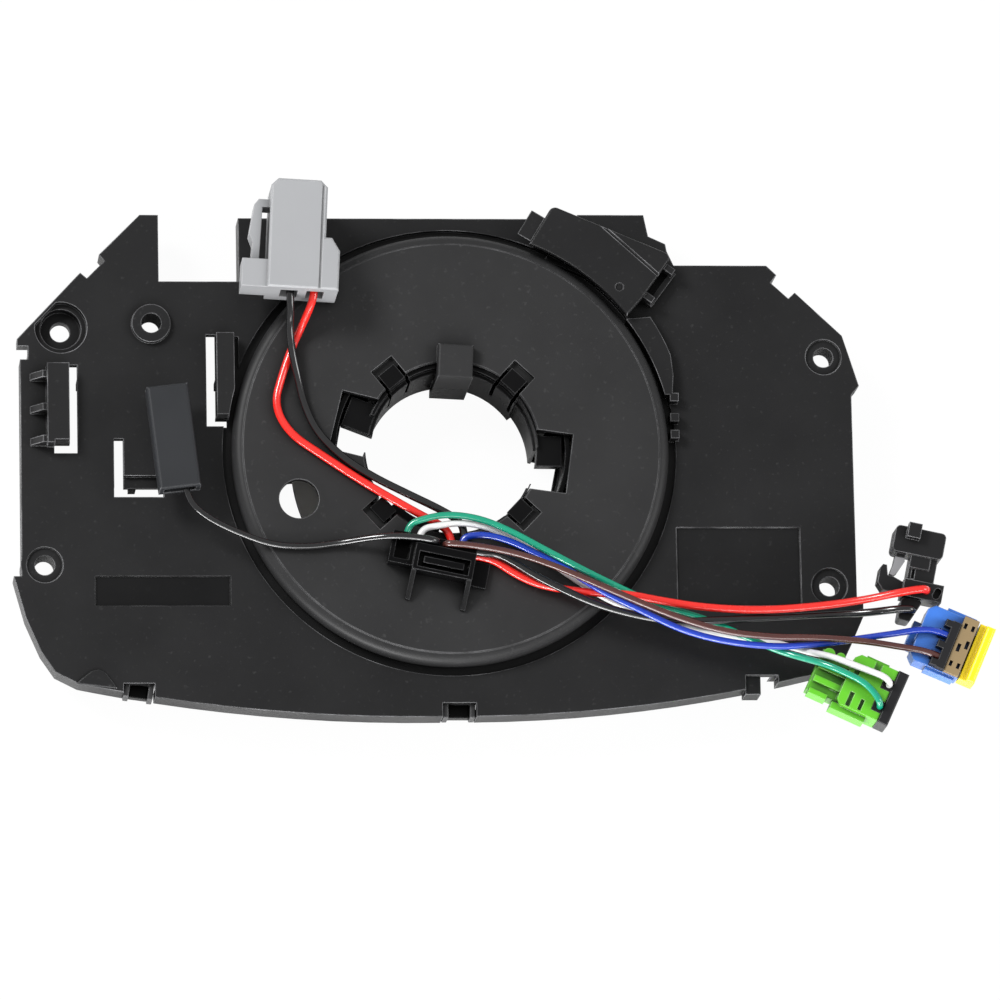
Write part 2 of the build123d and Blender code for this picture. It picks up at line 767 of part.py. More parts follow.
with BuildPart() as flat_cable:
    with BuildSketch(Plane.XY.offset(cable_bottom)):
        outer_start = cable_outer_radius - outer_turns * turn_pitch
        for radius, centre_x, lower in half_turns(outer_start, turn_pitch, 2 * outer_turns):
            with BuildLine():
                tape_arc(radius, centre_x, lower)
            make_face()
        for radius, centre_x, lower in half_turns(cable_inner_radius, turn_pitch, 2 * inner_turns):
            with BuildLine():
                tape_arc(radius, centre_x, lower)
            make_face()
        inner_end = cable_inner_radius + inner_turns * turn_pitch - turn_pitch / 2
        bend_start = inner_end + turn_pitch / 2 - 0.5 * tape_thickness
        bend_end = outer_start + 0.5 * tape_thickness
        with BuildLine():
            Line((bend_start, 0), (bend_start + tape_thickness, 0))
            ThreePointArc(
                (bend_start + tape_thickness, 0),
                (0.5 * (bend_start + bend_end), 0.5 * (bend_end - bend_start) - tape_thickness),
                (bend_end - tape_thickness, 0),
            )
            Line((bend_end - tape_thickness, 0), (bend_end, 0))
            ThreePointArc(
                (bend_end, 0),
                (0.5 * (bend_start + bend_end), 0.5 * (bend_end - bend_start)),
                (bend_start, 0),
            )
        make_face()
    extrude(amount=cable_top - cable_bottom)
flat_cable.part.label = "flat_cable"
export_step(flat_cable.part, "parts/flat_cable.step")


def turned_plane(centre, angle, height):
    """Plane parallel to the front face, turned about its own centre."""
    direction = (math.cos(math.radians(angle)), math.sin(math.radians(angle)), 0)
    return Plane(origin=(centre[0], centre[1], height), x_dir=direction, z_dir=(0, 0, 1))


# Guide on the disc that gathers the leads
guide_top = rotor_top + guide_height
shelf_depth = 2.1
shelf_top = rotor_top + post_height
guide_face = guide_depth / 2 + shelf_depth
with BuildPart() as lead_guide:
    with BuildSketch(turned_plane(guide_centre, guide_turn, rotor_top)):
        Rectangle(guide_width, guide_depth)
    extrude(amount=guide_height)
    with BuildSketch(turned_plane(guide_centre, guide_turn, rotor_top)):
        with Locations((0, guide_depth / 2 + shelf_depth / 2)):
            Rectangle(guide_width, shelf_depth)
        with Locations((-guide_width / 2 - post_width / 2, guide_face - post_depth / 2)):
            Rectangle(post_width, post_depth)
    extrude(amount=post_height)
    with BuildSketch(turned_plane(guide_centre, guide_turn, shelf_top)):
        with Locations((-guide_width / 2 - post_width / 2, guide_face - post_depth / 2)):
            Rectangle(post_width - 2 * post_wall, post_depth - 2 * post_wall)
    extrude(amount=1.0 - post_height, mode=Mode.SUBTRACT)
    with BuildSketch(turned_plane(guide_centre, guide_turn, guide_top)):
        with Locations((0, -0.5)):
            Rectangle(guide_slot_width + 2.4, guide_slot_height + 2.0)
            Rectangle(guide_slot_width, guide_slot_height, mode=Mode.SUBTRACT)
    extrude(amount=-2.6, mode=Mode.SUBTRACT)
    with BuildSketch(turned_plane(guide_centre, guide_turn, rotor_top)):
        with Locations((guide_width / 2 + 1.8, -0.7)):
            Rectangle(3.6, 5.8)
    extrude(amount=1.5)
    for leg_side in (-1, 1):
        leg_x = leg_side * (guide_width - guide_leg_thickness) / 2
        leg_base = turned(guide_centre, guide_turn, leg_x, 0)
        leg_plane = Plane(
            origin=(leg_base[0], leg_base[1], rotor_top),
            x_dir=(math.sin(math.radians(guide_turn)), -math.cos(math.radians(guide_turn)), 0),
            z_dir=(-math.cos(math.radians(guide_turn)), -math.sin(math.radians(guide_turn)), 0),
        )
        with BuildSketch(leg_plane):
            with BuildLine():
                Polyline(
                    (guide_depth / 2 - 0.4, 0),
                    (guide_depth / 2 + guide_leg_length, 0),
                    (guide_depth / 2 + guide_leg_length, 0.8),
                    (guide_depth / 2 - 0.4, guide_height - 0.6),
                    close=True,
                )
            make_face()
        extrude(amount=guide_leg_thickness / 2, both=True)
lead_guide.part.label = "lead_guide"
export_step(lead_guide.part, "parts/lead_guide.step")

# Plugs ride just above everything that stays still while the rotor turns
plug_floor = 6.5

# Grey plug: wire end at the local origin, mating end up
grey_centre = (-35.9, 33.7)
grey_turn = -3.2
grey_width = 12.8
grey_length = 25.2
grey_height = 13.0
grey_flare = 3.3
grey_flange_width = 5.8
grey_flange_length = 6.4
cavity_width = 3.9
cavity_height = 7.0
cavity_depth = 8.0
cavity_offsets = (-1.2, 4.7)
grey_top = plug_floor + grey_height
with BuildPart() as grey_plug:
    with BuildSketch(turned_plane(grey_centre, grey_turn, plug_floor)):
        with Locations((0, grey_length / 2)):
            Rectangle(grey_width, grey_length)
        with BuildLine():
            Polyline(
                (grey_width / 2 - 0.5, 0),
                (grey_width / 2 + grey_flare, 0),
                (grey_width / 2 + grey_flare, 9.0),
                (grey_width / 2 + 1.4, 12.0),
                (grey_width / 2 - 0.5, 12.0),
                close=True,
            )
        make_face()
    extrude(amount=grey_height)
    chamfer(grey_plug.edges().filter_by(Axis.Z).sort_by(Axis.Y)[-2:], length=1.6)
    chamfer(grey_plug.faces().sort_by(Axis.Z)[-1].edges(), length=0.4)
    with BuildSketch(turned_plane(grey_centre, grey_turn, plug_floor + 3.5)):
        with Locations((-grey_width / 2 - grey_flange_width / 2 + 0.2, grey_flange_length / 2)):
            Rectangle(grey_flange_width + 0.4, grey_flange_length)
    extrude(amount=grey_height - 4.3)
    with BuildSketch(turned_plane(grey_centre, grey_turn, plug_floor + 5.0)):
        with BuildLine():
            Polyline(
                (-grey_width / 2 - 2.0, grey_flange_length - 0.2),
                (-grey_width / 2 - 1.7, 18.8),
                (-grey_width / 2 + 0.3, 18.8),
                (-grey_width / 2 + 0.3, 20.6),
                (-grey_width / 2 - 2.6, 20.6),
                (-grey_width / 2 - 3.6, 19.2),
                (-grey_width / 2 - 4.5, 12.6),
                (-grey_width / 2 - 3.6, 10.4),
                (-grey_width / 2 - 3.8, grey_flange_length - 0.2),
                close=True,
            )
        make_face()
    extrude(amount=5.6)
    cavity_plane = Plane(
        origin=(grey_centre[0], grey_centre[1], plug_floor + grey_height / 2),
        x_dir=(math.cos(math.radians(grey_turn)), math.sin(math.radians(grey_turn)), 0),
        z_dir=(math.sin(math.radians(grey_turn)), -math.cos(math.radians(grey_turn)), 0),
    )
    with BuildSketch(cavity_plane):
        with Locations(*[(x, 0) for x in cavity_offsets]):
            Rectangle(cavity_width, cavity_height)
    extrude(amount=-cavity_depth, mode=Mode.SUBTRACT)
    with BuildSketch(turned_plane(grey_centre, grey_turn, grey_top)):
        with Locations((grey_width / 2 - 1.0, grey_length / 2)):
            Rectangle(0.5, grey_length)
    extrude(amount=-0.3, mode=Mode.SUBTRACT)
grey_plug.part.label = "grey_plug"
export_step(grey_plug.part, "parts/grey_plug.step")

# Crimped terminals in the grey plug, at the bottom of its two cavities
terminal_reach = 3.4
with BuildPart() as grey_terminals:
    with BuildSketch(cavity_plane.offset(-cavity_depth + 0.05)):
        with Locations(*[(x, 0) for x in cavity_offsets]):
            Rectangle(2.4, 2.8)
    extrude(amount=cavity_depth - terminal_reach)
grey_terminals.part.label = "grey_terminals"
export_step(grey_terminals.part, "parts/grey_terminals.step")

# Black push-on sleeve with its blade terminal
sleeve_centre = (-63.3, 1.1)
sleeve_turn = 6.7
sleeve_width = 9.4
sleeve_length = 23.8
sleeve_height = 6.0
sleeve_wall = 1.1
sleeve_lead_offset = 1.3
with BuildPart() as lead_sleeve:
    with BuildSketch(turned_plane(sleeve_centre, sleeve_turn, plug_floor)):
        Rectangle(sleeve_width, sleeve_length)
    extrude(amount=sleeve_height)
    fillet(lead_sleeve.faces().sort_by(Axis.Z)[-1].edges(), radius=0.7)
    sleeve_mouth = Plane(
        origin=(
            *turned(sleeve_centre, sleeve_turn, 0, -sleeve_length / 2),
            plug_floor + sleeve_height / 2,
        ),
        x_dir=(math.cos(math.radians(sleeve_turn)), math.sin(math.radians(sleeve_turn)), 0),
        z_dir=(math.sin(math.radians(sleeve_turn)), -math.cos(math.radians(sleeve_turn)), 0),
    )
    with BuildSketch(sleeve_mouth):
        Rectangle(sleeve_width - 2 * sleeve_wall, sleeve_height - 2 * sleeve_wall)
    extrude(amount=-18.0, mode=Mode.SUBTRACT)
lead_sleeve.part.label = "lead_sleeve"
export_step(lead_sleeve.part, "parts/lead_sleeve.step")

with BuildPart() as sleeve_terminal:
    with BuildSketch(sleeve_mouth.offset(-17.95)):
        with Locations((sleeve_lead_offset, 0)):
            Rectangle(4.0, 2.0)
    extrude(amount=11.0)
    with BuildSketch(sleeve_mouth.offset(-7.2)):
        with Locations((sleeve_lead_offset, 0)):
            Rectangle(2.2, 2.0)
    extrude(amount=3.2)
sleeve_terminal.part.label = "sleeve_terminal"
export_step(sleeve_terminal.part, "parts/sleeve_terminal.step")

# Green plug: long axis towards its cap, leads enter from above beside the cap
green_centre = (88.7, -56.6)
green_turn = -25.0
green_width = 12.4
green_middle = 0.8
green_body_start = -2.1
green_body_end = 8.2
green_nose_start = -9.2
green_height = 8.9
green_top = plug_floor + green_height
green_lead_spots = ((7.4, 3.2), (7.4, -2.2))
lead_pad_length = 2.4
lead_pad_width = 2.8
lead_pad_depth = 0.9
with BuildPart() as green_plug:
    with BuildSketch(turned_plane(green_centre, green_turn, plug_floor)):
        with Locations((0.5 * (green_body_start + green_body_end), green_middle)):
            Rectangle(green_body_end - green_body_start, green_width)
    extrude(amount=green_height)
    chamfer(green_plug.edges().filter_by(Axis.Z).sort_by(Axis.X)[:2], length=1.2)
    with BuildSketch(turned_plane(green_centre, green_turn, plug_floor + 0.6)):
        with Locations((0.5 * (green_nose_start + green_body_start) + 0.3, 0.3)):
            Rectangle(green_body_start - green_nose_start + 0.6, green_width - 2.4)
    extrude(amount=green_height - 3.6)
    with BuildSketch(turned_plane(green_centre, green_turn, plug_floor + 2.0)):
        with Locations((-7.6, 4.6)):
            Circle(1.4)
        with Locations((-4.9, 5.0)):
            Circle(1.1)
    extrude(amount=green_height - 4.6)
    with BuildSketch(turned_plane(green_centre, green_turn, plug_floor + green_height - 3.2)):
        with Locations((-5.2, -1.9), (-5.2, 1.3)):
            Rectangle(7.0, 1.4)
    extrude(amount=1.8)
    with BuildSketch(turned_plane(green_centre, green_turn, plug_floor + 1.4)):
        with Locations((-6.4, -4.9)):
            Rectangle(4.4, 1.2)
        with Locations((3.2, green_middle + green_width / 2 + 0.2)):
            Rectangle(5.4, 1.2)
        with Locations((1.4, green_middle - green_width / 2 - 0.5)):
            Rectangle(8.4, 1.6)
    extrude(amount=5.6)
    with BuildSketch(turned_plane(green_centre, green_turn, green_top)):
        with Locations((0.6, -3.4)):
            Rectangle(1.0, 3.4)
        with Locations((3.4, -3.6)):
            Rectangle(0.8, 2.6)
        with Locations((3.6, 6.2)):
            Rectangle(1.6, 2.4)
        with Locations((-0.4, 2.2)):
            Rectangle(1.2, 2.6)
    extrude(amount=-0.9, mode=Mode.SUBTRACT)
    with BuildSketch(turned_plane(green_centre, green_turn, green_top)):
        for spot in green_lead_spots:
            with Locations((green_body_end - lead_pad_length / 2, spot[1])):
                Rectangle(lead_pad_length, lead_pad_width)
    extrude(amount=-lead_pad_depth, mode=Mode.SUBTRACT)
green_plug.part.label = "green_plug"
export_step(green_plug.part, "parts/green_plug.step")

# Its dark wire cap, with a pad under the end of each lead
plug_cap_thickness = 2.5
cap_fit = 0.02
with BuildPart() as green_plug_cap:
    with BuildSketch(turned_plane(green_centre, green_turn, plug_floor + 0.8)):
        with Locations((green_body_end + plug_cap_thickness / 2 + cap_fit, green_middle)):
            Rectangle(plug_cap_thickness, green_width + 0.4)
    extrude(amount=green_height - 0.3)
    fillet(green_plug_cap.faces().sort_by(Axis.Z)[-1].edges(), radius=0.4)
    with BuildSketch(turned_plane(green_centre, green_turn, green_top - lead_pad_depth + cap_fit)):
        for spot in green_lead_spots:
            with Locations((green_body_end + cap_fit - lead_pad_length / 2 + 0.3, spot[1])):
                Rectangle(lead_pad_length + 0.4, lead_pad_width - 2 * cap_fit)
    extrude(amount=lead_pad_depth - cap_fit)
green_plug_cap.part.label = "green_plug_cap"
export_step(green_plug_cap.part, "parts/green_plug_cap.step")

# Blue plug: cap, comb plate and sliding lock lie side by side on its top
blue_centre = (110.05, -46.3)
blue_turn = -23.4
blue_width = 13.6
blue_back = -6.2
blue_front = 5.8
blue_height = 6.6
blue_top = plug_floor + blue_height
blue_lead_spots = (-4.1, 1.2)
blue_cap_depth = 2.1
blue_cap_height = 2.4
blue_cap_width = 11.5
comb_depth = 3.5
comb_height = 1.9
lock_slot_width = 9.2
lock_slot_height = 2.2
lock_slot_floor = 2.4
lock_fit = 0.15
lock_travel = 2.0
lock_flat_depth = 1.5
lock_ridge_depth = 2.1
with BuildPart() as blue_plug:
    with BuildSketch(turned_plane(blue_centre, blue_turn, plug_floor)):
        with Locations(((blue_back + blue_front) / 2, 0)):
            Rectangle(blue_front - blue_back, blue_width)
    extrude(amount=blue_height)
    chamfer(blue_plug.edges().filter_by(Axis.Z).sort_by(Axis.X)[:1], length=1.4)
    chamfer(blue_plug.edges().filter_by(Axis.Z).sort_by(Axis.Y)[-1], length=1.4)
    with BuildSketch(turned_plane(blue_centre, blue_turn, plug_floor)):
        with Locations((blue_back - 0.4, -1.0)):
            Rectangle(2.6, 6.4)
    extrude(amount=4.2)
    with BuildSketch(turned_plane(blue_centre, blue_turn, plug_floor + 1.0)):
        with Locations((1.6, blue_width / 2), (1.6, -blue_width / 2)):
            Rectangle(7.0, 1.6)
    extrude(amount=blue_height - 1.8)
    with BuildSketch(turned_plane(blue_centre, blue_turn, blue_top)):
        for spot_y in blue_lead_spots:
            with Locations((-1.0, spot_y)):
                Rectangle(2.0, 2.2)
    extrude(amount=-0.4, mode=Mode.SUBTRACT)
    with BuildSketch(turned_plane(blue_centre, blue_turn, plug_floor + lock_slot_floor)):
        with Locations((blue_front - 2.0, 0)):
            Rectangle(4.0, lock_slot_width)
    extrude(amount=lock_slot_height, mode=Mode.SUBTRACT)
blue_plug.part.label = "blue_plug"
export_step(blue_plug.part, "parts/blue_plug.step")

with BuildPart() as blue_plug_cap:
    with BuildSketch(turned_plane(blue_centre, blue_turn, blue_top)):
        with Locations((blue_cap_depth / 2, 0.5 * (blue_cap_width - blue_width))):
            Rectangle(blue_cap_depth, blue_cap_width)
        tooth_middle = 0.5 * sum(blue_lead_spots)
        for tooth_y in (1.0 - blue_width / 2, tooth_middle, blue_cap_width - blue_width / 2 - 1.0):
            with Locations((-0.7, tooth_y)):
                Rectangle(1.6, 1.6)
    extrude(amount=blue_cap_height)
    fillet(blue_plug_cap.faces().sort_by(Axis.Z)[-1].edges(), radius=0.3)
blue_plug_cap.part.label = "blue_plug_cap"
export_step(blue_plug_cap.part, "parts/blue_plug_cap.step")

with BuildPart() as blue_plug_comb:
    with BuildSketch(turned_plane(blue_centre, blue_turn, blue_top)):
        with Locations((blue_cap_depth + comb_depth / 2 + 0.05, 0)):
            Rectangle(comb_depth, blue_width)
        for comb_y in (-4.6, 4.6):
            with Locations((blue_cap_depth + 0.9, comb_y), (blue_cap_depth + 2.7, comb_y)):
                Rectangle(0.7, 1.3, mode=Mode.SUBTRACT)
        with Locations((blue_cap_depth + 1.2, -0.6), (blue_cap_depth + 2.8, 0.6)):
            Rectangle(0.8, 1.9, mode=Mode.SUBTRACT)
    extrude(amount=comb_height)
blue_plug_comb.part.label = "blue_plug_comb"
export_step(blue_plug_comb.part, "parts/blue_plug_comb.step")

# The lock is stored pushed home; its tongue slides out of the slot by the lock's travel
lock_bar_start = blue_front + 0.3
lock_tongue_length = lock_travel + 1.6
with BuildPart() as yellow_lock:
    with BuildSketch(turned_plane(blue_centre, blue_turn, plug_floor + lock_slot_floor + lock_fit)):
        with Locations((lock_bar_start + 0.3 - 0.5 * (lock_tongue_length + 0.6), 0)):
            Rectangle(lock_tongue_length + 0.6, lock_slot_width - 2 * lock_fit)
    extrude(amount=lock_slot_height - 2 * lock_fit)
    with BuildSketch(turned_plane(blue_centre, blue_turn, plug_floor + 1.4)):
        with Locations((lock_bar_start + lock_flat_depth / 2 + 0.2, 0)):
            Rectangle(lock_flat_depth + 0.4, blue_width)
    extrude(amount=blue_height - 1.0)
    with BuildSketch(turned_plane(blue_centre, blue_turn, plug_floor + 1.4)):
        with Locations((lock_bar_start + lock_flat_depth + lock_ridge_depth / 2, 0)):
            Rectangle(lock_ridge_depth, blue_width)
    extrude(amount=blue_height + 0.4)
    fillet(yellow_lock.faces().sort_by(Axis.Z)[-1].edges(), radius=0.7)
yellow_lock.part.label = "yellow_lock"
export_step(yellow_lock.part, "parts/yellow_lock.step")

# Black plug: wide head with a thumb tab, neck, hooked latch, cover where its leads enter
black_centre = (103.7, -33.0)
black_turn = -12.0
black_height = 7.6
black_top = plug_floor + black_height
head_front = 6.2
head_back = 12.3
head_left = -6.6
head_right = 5.0
neck_start = 0.2
collar_left = -2.6
collar_right = 6.5
collar_front = -3.2
hook_left = -8.4
hook_depth = 4.6
with BuildPart() as black_plug:
    with BuildSketch(turned_plane(black_centre, black_turn, plug_floor + 0.6)):
        with Locations((0.5 * (head_left + head_right), 0.5 * (head_front + head_back))):
            Rectangle(head_right - head_left, head_back - head_front)
    extrude(amount=black_height - 0.6)
    fillet(black_plug.edges().filter_by(Axis.Z), radius=1.1)
    with BuildSketch(turned_plane(black_centre, black_turn, black_top - 0.6)):
        with Locations((-2.5, 11.3)):
            Rectangle(3.0, 3.4)
    extrude(amount=2.8)
    with BuildSketch(turned_plane(black_centre, black_turn, plug_floor + 1.0)):
        with Locations((1.0, 0.5 * (neck_start + head_front))):
            Rectangle(6.2, head_front - neck_start + 0.8)
    extrude(amount=black_height - 1.9)
    with BuildSketch(turned_plane(black_centre, black_turn, plug_floor + 1.6)):
        with Locations((0.2, head_front - 1.3)):
            Rectangle(4.6, 3.2)
    extrude(amount=black_height - 2.0)
    with BuildSketch(turned_plane(black_centre, black_turn, plug_floor + 0.6)):
        with Locations((0.5 * (collar_left + collar_right), 0.5 * (collar_front + neck_start))):
            Rectangle(collar_right - collar_left, neck_start - collar_front + 0.6)
    extrude(amount=black_height - 0.6)
    with BuildSketch(turned_plane(black_centre, black_turn, plug_floor + 1.8)):
        with BuildLine():
            Polyline(
                (collar_left + 0.4, -2.9),
                (hook_left + 1.4, -2.9),
                (hook_left, -1.4),
                (hook_left, 2.0),
                (hook_left + 0.5, 2.9),
                (hook_left + 1.4, 2.9),
                (hook_left + 2.0, 0.6),
                (-5.3, 0.6),
                (collar_left + 0.4, -0.4),
                close=True,
            )
        make_face()
    extrude(amount=hook_depth)
    with BuildSketch(turned_plane(black_centre, black_turn, plug_floor + 3.0)):
        with Locations((-4.4, 6.0)):
            Rectangle(2.2, 1.6)
    extrude(amount=3.4)
    with BuildSketch(turned_plane(black_centre, black_turn, black_top)):
        with Locations((-0.9, 2.0)):
            Rectangle(0.7, 2.2)
    extrude(amount=-2.0, mode=Mode.SUBTRACT)
    with BuildSketch(turned_plane(black_centre, black_turn, black_top)):
        with Locations((collar_right - 1.3, -1.6)):
            SlotOverall(2.6, 1.5, rotation=70)
    extrude(amount=-1.6, mode=Mode.SUBTRACT)
black_plug.part.label = "black_plug"
export_step(black_plug.part, "parts/black_plug.step")

with BuildPart() as black_plug_cover:
    with BuildSketch(turned_plane(black_centre, black_turn, plug_floor)):
        with BuildLine():
            Polyline(
                (-2.3, collar_front - 0.4),
                (-2.3, -8.8),
                (0.4, -8.8),
                (1.1, -7.2),
                (2.6, collar_front - 0.4),
                close=True,
            )
        make_face()
    extrude(amount=black_height - 1.4)
    fillet(black_plug_cover.edges().filter_by(Axis.Z), radius=0.7)
black_plug_cover.part.label = "black_plug_cover"
export_step(black_plug_cover.part, "parts/black_plug_cover.step")

with BuildPart() as black_plug_lock:
    with BuildSketch(turned_plane(black_centre, black_turn, plug_floor + 3.0)):
        with BuildLine():
            Polyline(
                (-5.5, 5.15),
                (-3.4, 5.15),
                (-3.2, 4.4),
                (-4.4, 1.6),
                (-5.3, 0.65),
                (-6.1, 0.95),
                (-5.6, 3.4),
                close=True,
            )
        make_face()
    extrude(amount=3.6)
black_plug_lock.part.label = "black_plug_lock"
export_step(black_plug_lock.part, "parts/black_plug_lock.step")

# Leads: points of each route, from one end to the other
lead_routes = {
    "red_lead_left": (thick_lead, [
        (-31.0, 37.1, 13.0), (-31.2, 33.7, 13.0), (-32.2, 30.6, 11.6), (-33.8, 27.4, 8.0),
        (-36.0, 22.8, 6.3), (-38.3, 16.4, 6.2), (-40.2, 9.6, 6.2), (-36.9, 3.0, 6.2),
        (-29.6, -2.0, 6.2), (-21.3, -7.6, 6.2), (-14.2, -11.9, 6.2), (-7.2, -15.9, 6.2),
        (-2.6, -18.3, 6.2), (-0.8, -20.4, 6.2), (-0.4, -22.45, 6.2),
    ]),
    "black_lead_left": (thick_lead, [
        (-36.8, 37.4, 13.0), (-36.7, 34.0, 13.0), (-36.5, 30.6, 12.0), (-36.7, 26.4, 9.2),
        (-36.0, 20.6, 8.5), (-34.7, 15.6, 6.7), (-33.6, 10.0, 6.2), (-30.8, 3.4, 6.2),
        (-24.6, -2.9, 6.2), (-17.6, -7.3, 6.2), (-10.2, -11.0, 6.2), (-2.8, -14.6, 6.2),
        (1.7, -17.4, 6.2), (2.4, -20.3, 6.2), (2.57, -23.06, 6.2),
    ]),
    "sleeve_lead": (thin_lead, [
        (-61.09, -6.59, 9.5), (-60.62, -10.57, 9.5), (-59.0, -14.4, 9.2), (-54.6, -17.6, 8.6),
        (-48.8, -20.2, 7.6), (-41.0, -22.8, 6.2), (-32.5, -23.2, 6.1), (-25.6, -22.2, 6.3),
        (-19.6, -21.7, 9.0), (-14.6, -21.5, 10.7), (-9.6, -21.8, 10.8), (-6.6, -22.2, 10.8),
        (-4.5, -22.6, 10.7), (-3.88, -22.7, 9.2),
    ]),
    "green_lead": (thin_lead, [
        (-10.7, -20.31, 8.0), (-10.3, -18.5, 8.3), (-7.3, -17.3, 9.0), (-1.6, -16.3, 9.6),
        (5.4, -17.3, 10.0), (12.0, -20.1, 10.4), (19.8, -24.5, 10.6), (29.1, -29.2, 9.2),
        (38.0, -33.2, 7.3), (46.2, -37.0, 7.0), (54.5, -39.2, 7.0), (59.6, -41.4, 7.2),
        (64.8, -44.1, 8.8), (70.2, -46.7, 9.1), (74.4, -48.4, 9.7), (78.2, -50.0, 12.0),
        (82.4, -52.0, 15.6), (86.6, -54.2, 17.1), (90.8, -56.5, 17.7), (93.6, -59.6, 17.9),
        (94.48, -61.7, 17.5), (94.48, -61.7, 15.4),
    ]),
    "white_lead": (thin_lead, [
        (-7.81, -20.91, 8.0), (-7.2, -19.4, 8.2), (-4.2, -18.8, 8.4), (1.2, -18.0, 8.4),
        (6.4, -18.7, 8.2), (12.6, -21.2, 7.6), (19.0, -25.0, 7.1), (26.0, -30.0, 7.1),
        (33.4, -35.0, 7.1), (41.0, -38.3, 7.1), (50.6, -41.6, 7.1), (60.4, -44.2, 7.1),
        (69.6, -44.9, 7.2), (76.0, -46.7, 8.4), (79.84, -48.39, 10.6), (82.47, -49.61, 14.0),
        (84.83, -50.71, 16.0), (88.81, -52.57, 17.2), (93.07, -54.33, 17.7), (95.7, -55.5, 17.9),
        (96.78, -56.8, 17.5), (96.78, -56.8, 15.4),
    ]),
    "blue_lead": (thin_lead, [
        (1.69, -22.88, 8.2), (1.9, -21.6, 8.3), (3.8, -21.0, 8.7), (7.6, -21.0, 9.0),
        (12.6, -22.4, 9.0), (19.0, -25.5, 8.8), (25.0, -28.6, 8.9), (30.2, -32.6, 10.4),
        (34.6, -35.4, 11.2), (41.4, -38.7, 11.1), (50.6, -43.3, 10.7), (60.6, -46.0, 10.8),
        (71.8, -47.3, 11.3), (80.6, -46.8, 11.5), (87.2, -46.0, 11.6), (93.6, -45.2, 12.6),
        (99.4, -44.6, 13.8), (104.2, -43.9, 14.4), (108.05, -44.1, 14.3), (110.53, -45.2, 14.3),
    ]),
    "brown_lead": (thin_lead, [
        (-2.16, -23.2, 9.2), (-2.0, -23.2, 10.6), (0.2, -23.4, 10.8), (4.4, -23.8, 10.7),
        (10.4, -24.8, 10.8), (16.6, -26.5, 11.1), (23.2, -29.1, 11.8), (30.6, -32.5, 12.4),
        (38.4, -36.0, 12.5), (49.6, -40.7, 12.2), (60.6, -44.0, 11.9), (71.6, -45.3, 12.4),
        (80.0, -45.4, 12.9), (87.0, -45.9, 13.4), (93.6, -46.7, 13.8), (99.4, -47.8, 14.3),
        (103.8, -48.5, 14.4), (106.2, -49.1, 14.3), (108.42, -50.06, 14.3),
    ]),
    "red_lead_right": (thick_lead, [
        (4.84, -25.37, 6.3), (6.6, -25.6, 6.3), (9.6, -26.6, 6.4), (13.4, -29.4, 6.8),
        (18.6, -32.0, 7.1), (25.4, -33.4, 7.5), (32.2, -34.5, 9.2), (38.8, -34.7, 9.4),
        (46.0, -36.2, 9.4), (56.6, -37.9, 9.2), (69.8, -38.5, 9.3), (82.4, -37.7, 10.2),
        (91.6, -36.8, 12.4), (98.2, -35.9, 15.2), (103.0, -35.1, 16.0), (106.05, -34.9, 16.2),
        (106.05, -34.9, 14.1),
    ]),
    "black_lead_right": (thick_lead, [
        (4.97, -24.78, 8.3), (6.8, -25.1, 8.3), (9.8, -25.2, 8.2), (13.6, -27.3, 8.3),
        (18.0, -30.4, 9.0), (24.0, -33.6, 9.5), (31.6, -37.1, 9.3), (40.6, -39.6, 9.0),
        (49.6, -41.1, 9.1), (57.6, -40.8, 9.2), (65.6, -40.2, 8.2), (75.6, -39.6, 7.6),
        (85.0, -39.2, 8.2), (92.6, -39.3, 10.4), (97.6, -39.3, 13.8), (100.6, -39.2, 14.8),
        (102.9, -39.3, 14.8), (102.9, -39.3, 12.7),
    ]),
}


def route_radii(points):
    """Radius of the bend at each inner point: its arc takes the same share of the shorter run."""
    runs = [after - before for before, after in zip(points, points[1:])]
    radii = []
    for before, after in zip(runs, runs[1:]):
        half_turn = math.radians(before.get_angle(after)) / 2
        radii.append(minimum_run_share * min(before.length, after.length) / math.tan(half_turn))
    return radii


for lead_name, (lead_diameter, route) in lead_routes.items():
    route_points = [Vector(*point) for point in route]
    bend_radii = route_radii(route_points)
    with BuildPart() as lead:
        with BuildLine() as lead_path:
            FilletPolyline(*route_points, radius=bend_radii)
        with BuildSketch(Plane(origin=lead_path.line @ 0, z_dir=lead_path.line % 0)):
            Circle(lead_diameter / 2)
        sweep(path=lead_path.line)
    lead.part.label = lead_name
    export_step(lead.part, f"parts/{lead_name}.step")
    lead_length = sum(edge.length for edge in lead_path.edges())
    tube_volume = lead_length * math.pi * lead_diameter**2 / 4
    print(lead_name, "length", round(lead_length, 1), "mm")
    print("  radii", [round(radius, 1) for radius in bend_radii])
    print("  volume against section times length", round(lead.part.volume / tube_volume, 4))
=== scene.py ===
import json
import math

import bmesh
import bpy
from mathutils import Matrix, Vector


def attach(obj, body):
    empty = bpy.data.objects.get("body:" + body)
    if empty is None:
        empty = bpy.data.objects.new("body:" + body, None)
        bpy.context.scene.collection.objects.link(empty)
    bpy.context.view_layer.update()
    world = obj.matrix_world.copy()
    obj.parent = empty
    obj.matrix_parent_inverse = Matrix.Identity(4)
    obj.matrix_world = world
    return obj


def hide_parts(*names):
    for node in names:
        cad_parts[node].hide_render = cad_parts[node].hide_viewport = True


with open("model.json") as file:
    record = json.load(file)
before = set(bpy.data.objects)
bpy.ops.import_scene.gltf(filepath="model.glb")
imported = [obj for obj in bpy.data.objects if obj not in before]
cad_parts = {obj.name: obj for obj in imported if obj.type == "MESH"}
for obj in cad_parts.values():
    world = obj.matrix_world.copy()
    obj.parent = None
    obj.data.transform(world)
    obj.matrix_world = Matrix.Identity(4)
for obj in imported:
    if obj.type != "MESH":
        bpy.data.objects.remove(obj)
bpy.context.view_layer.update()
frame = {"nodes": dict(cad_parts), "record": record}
nodes = frame["nodes"]
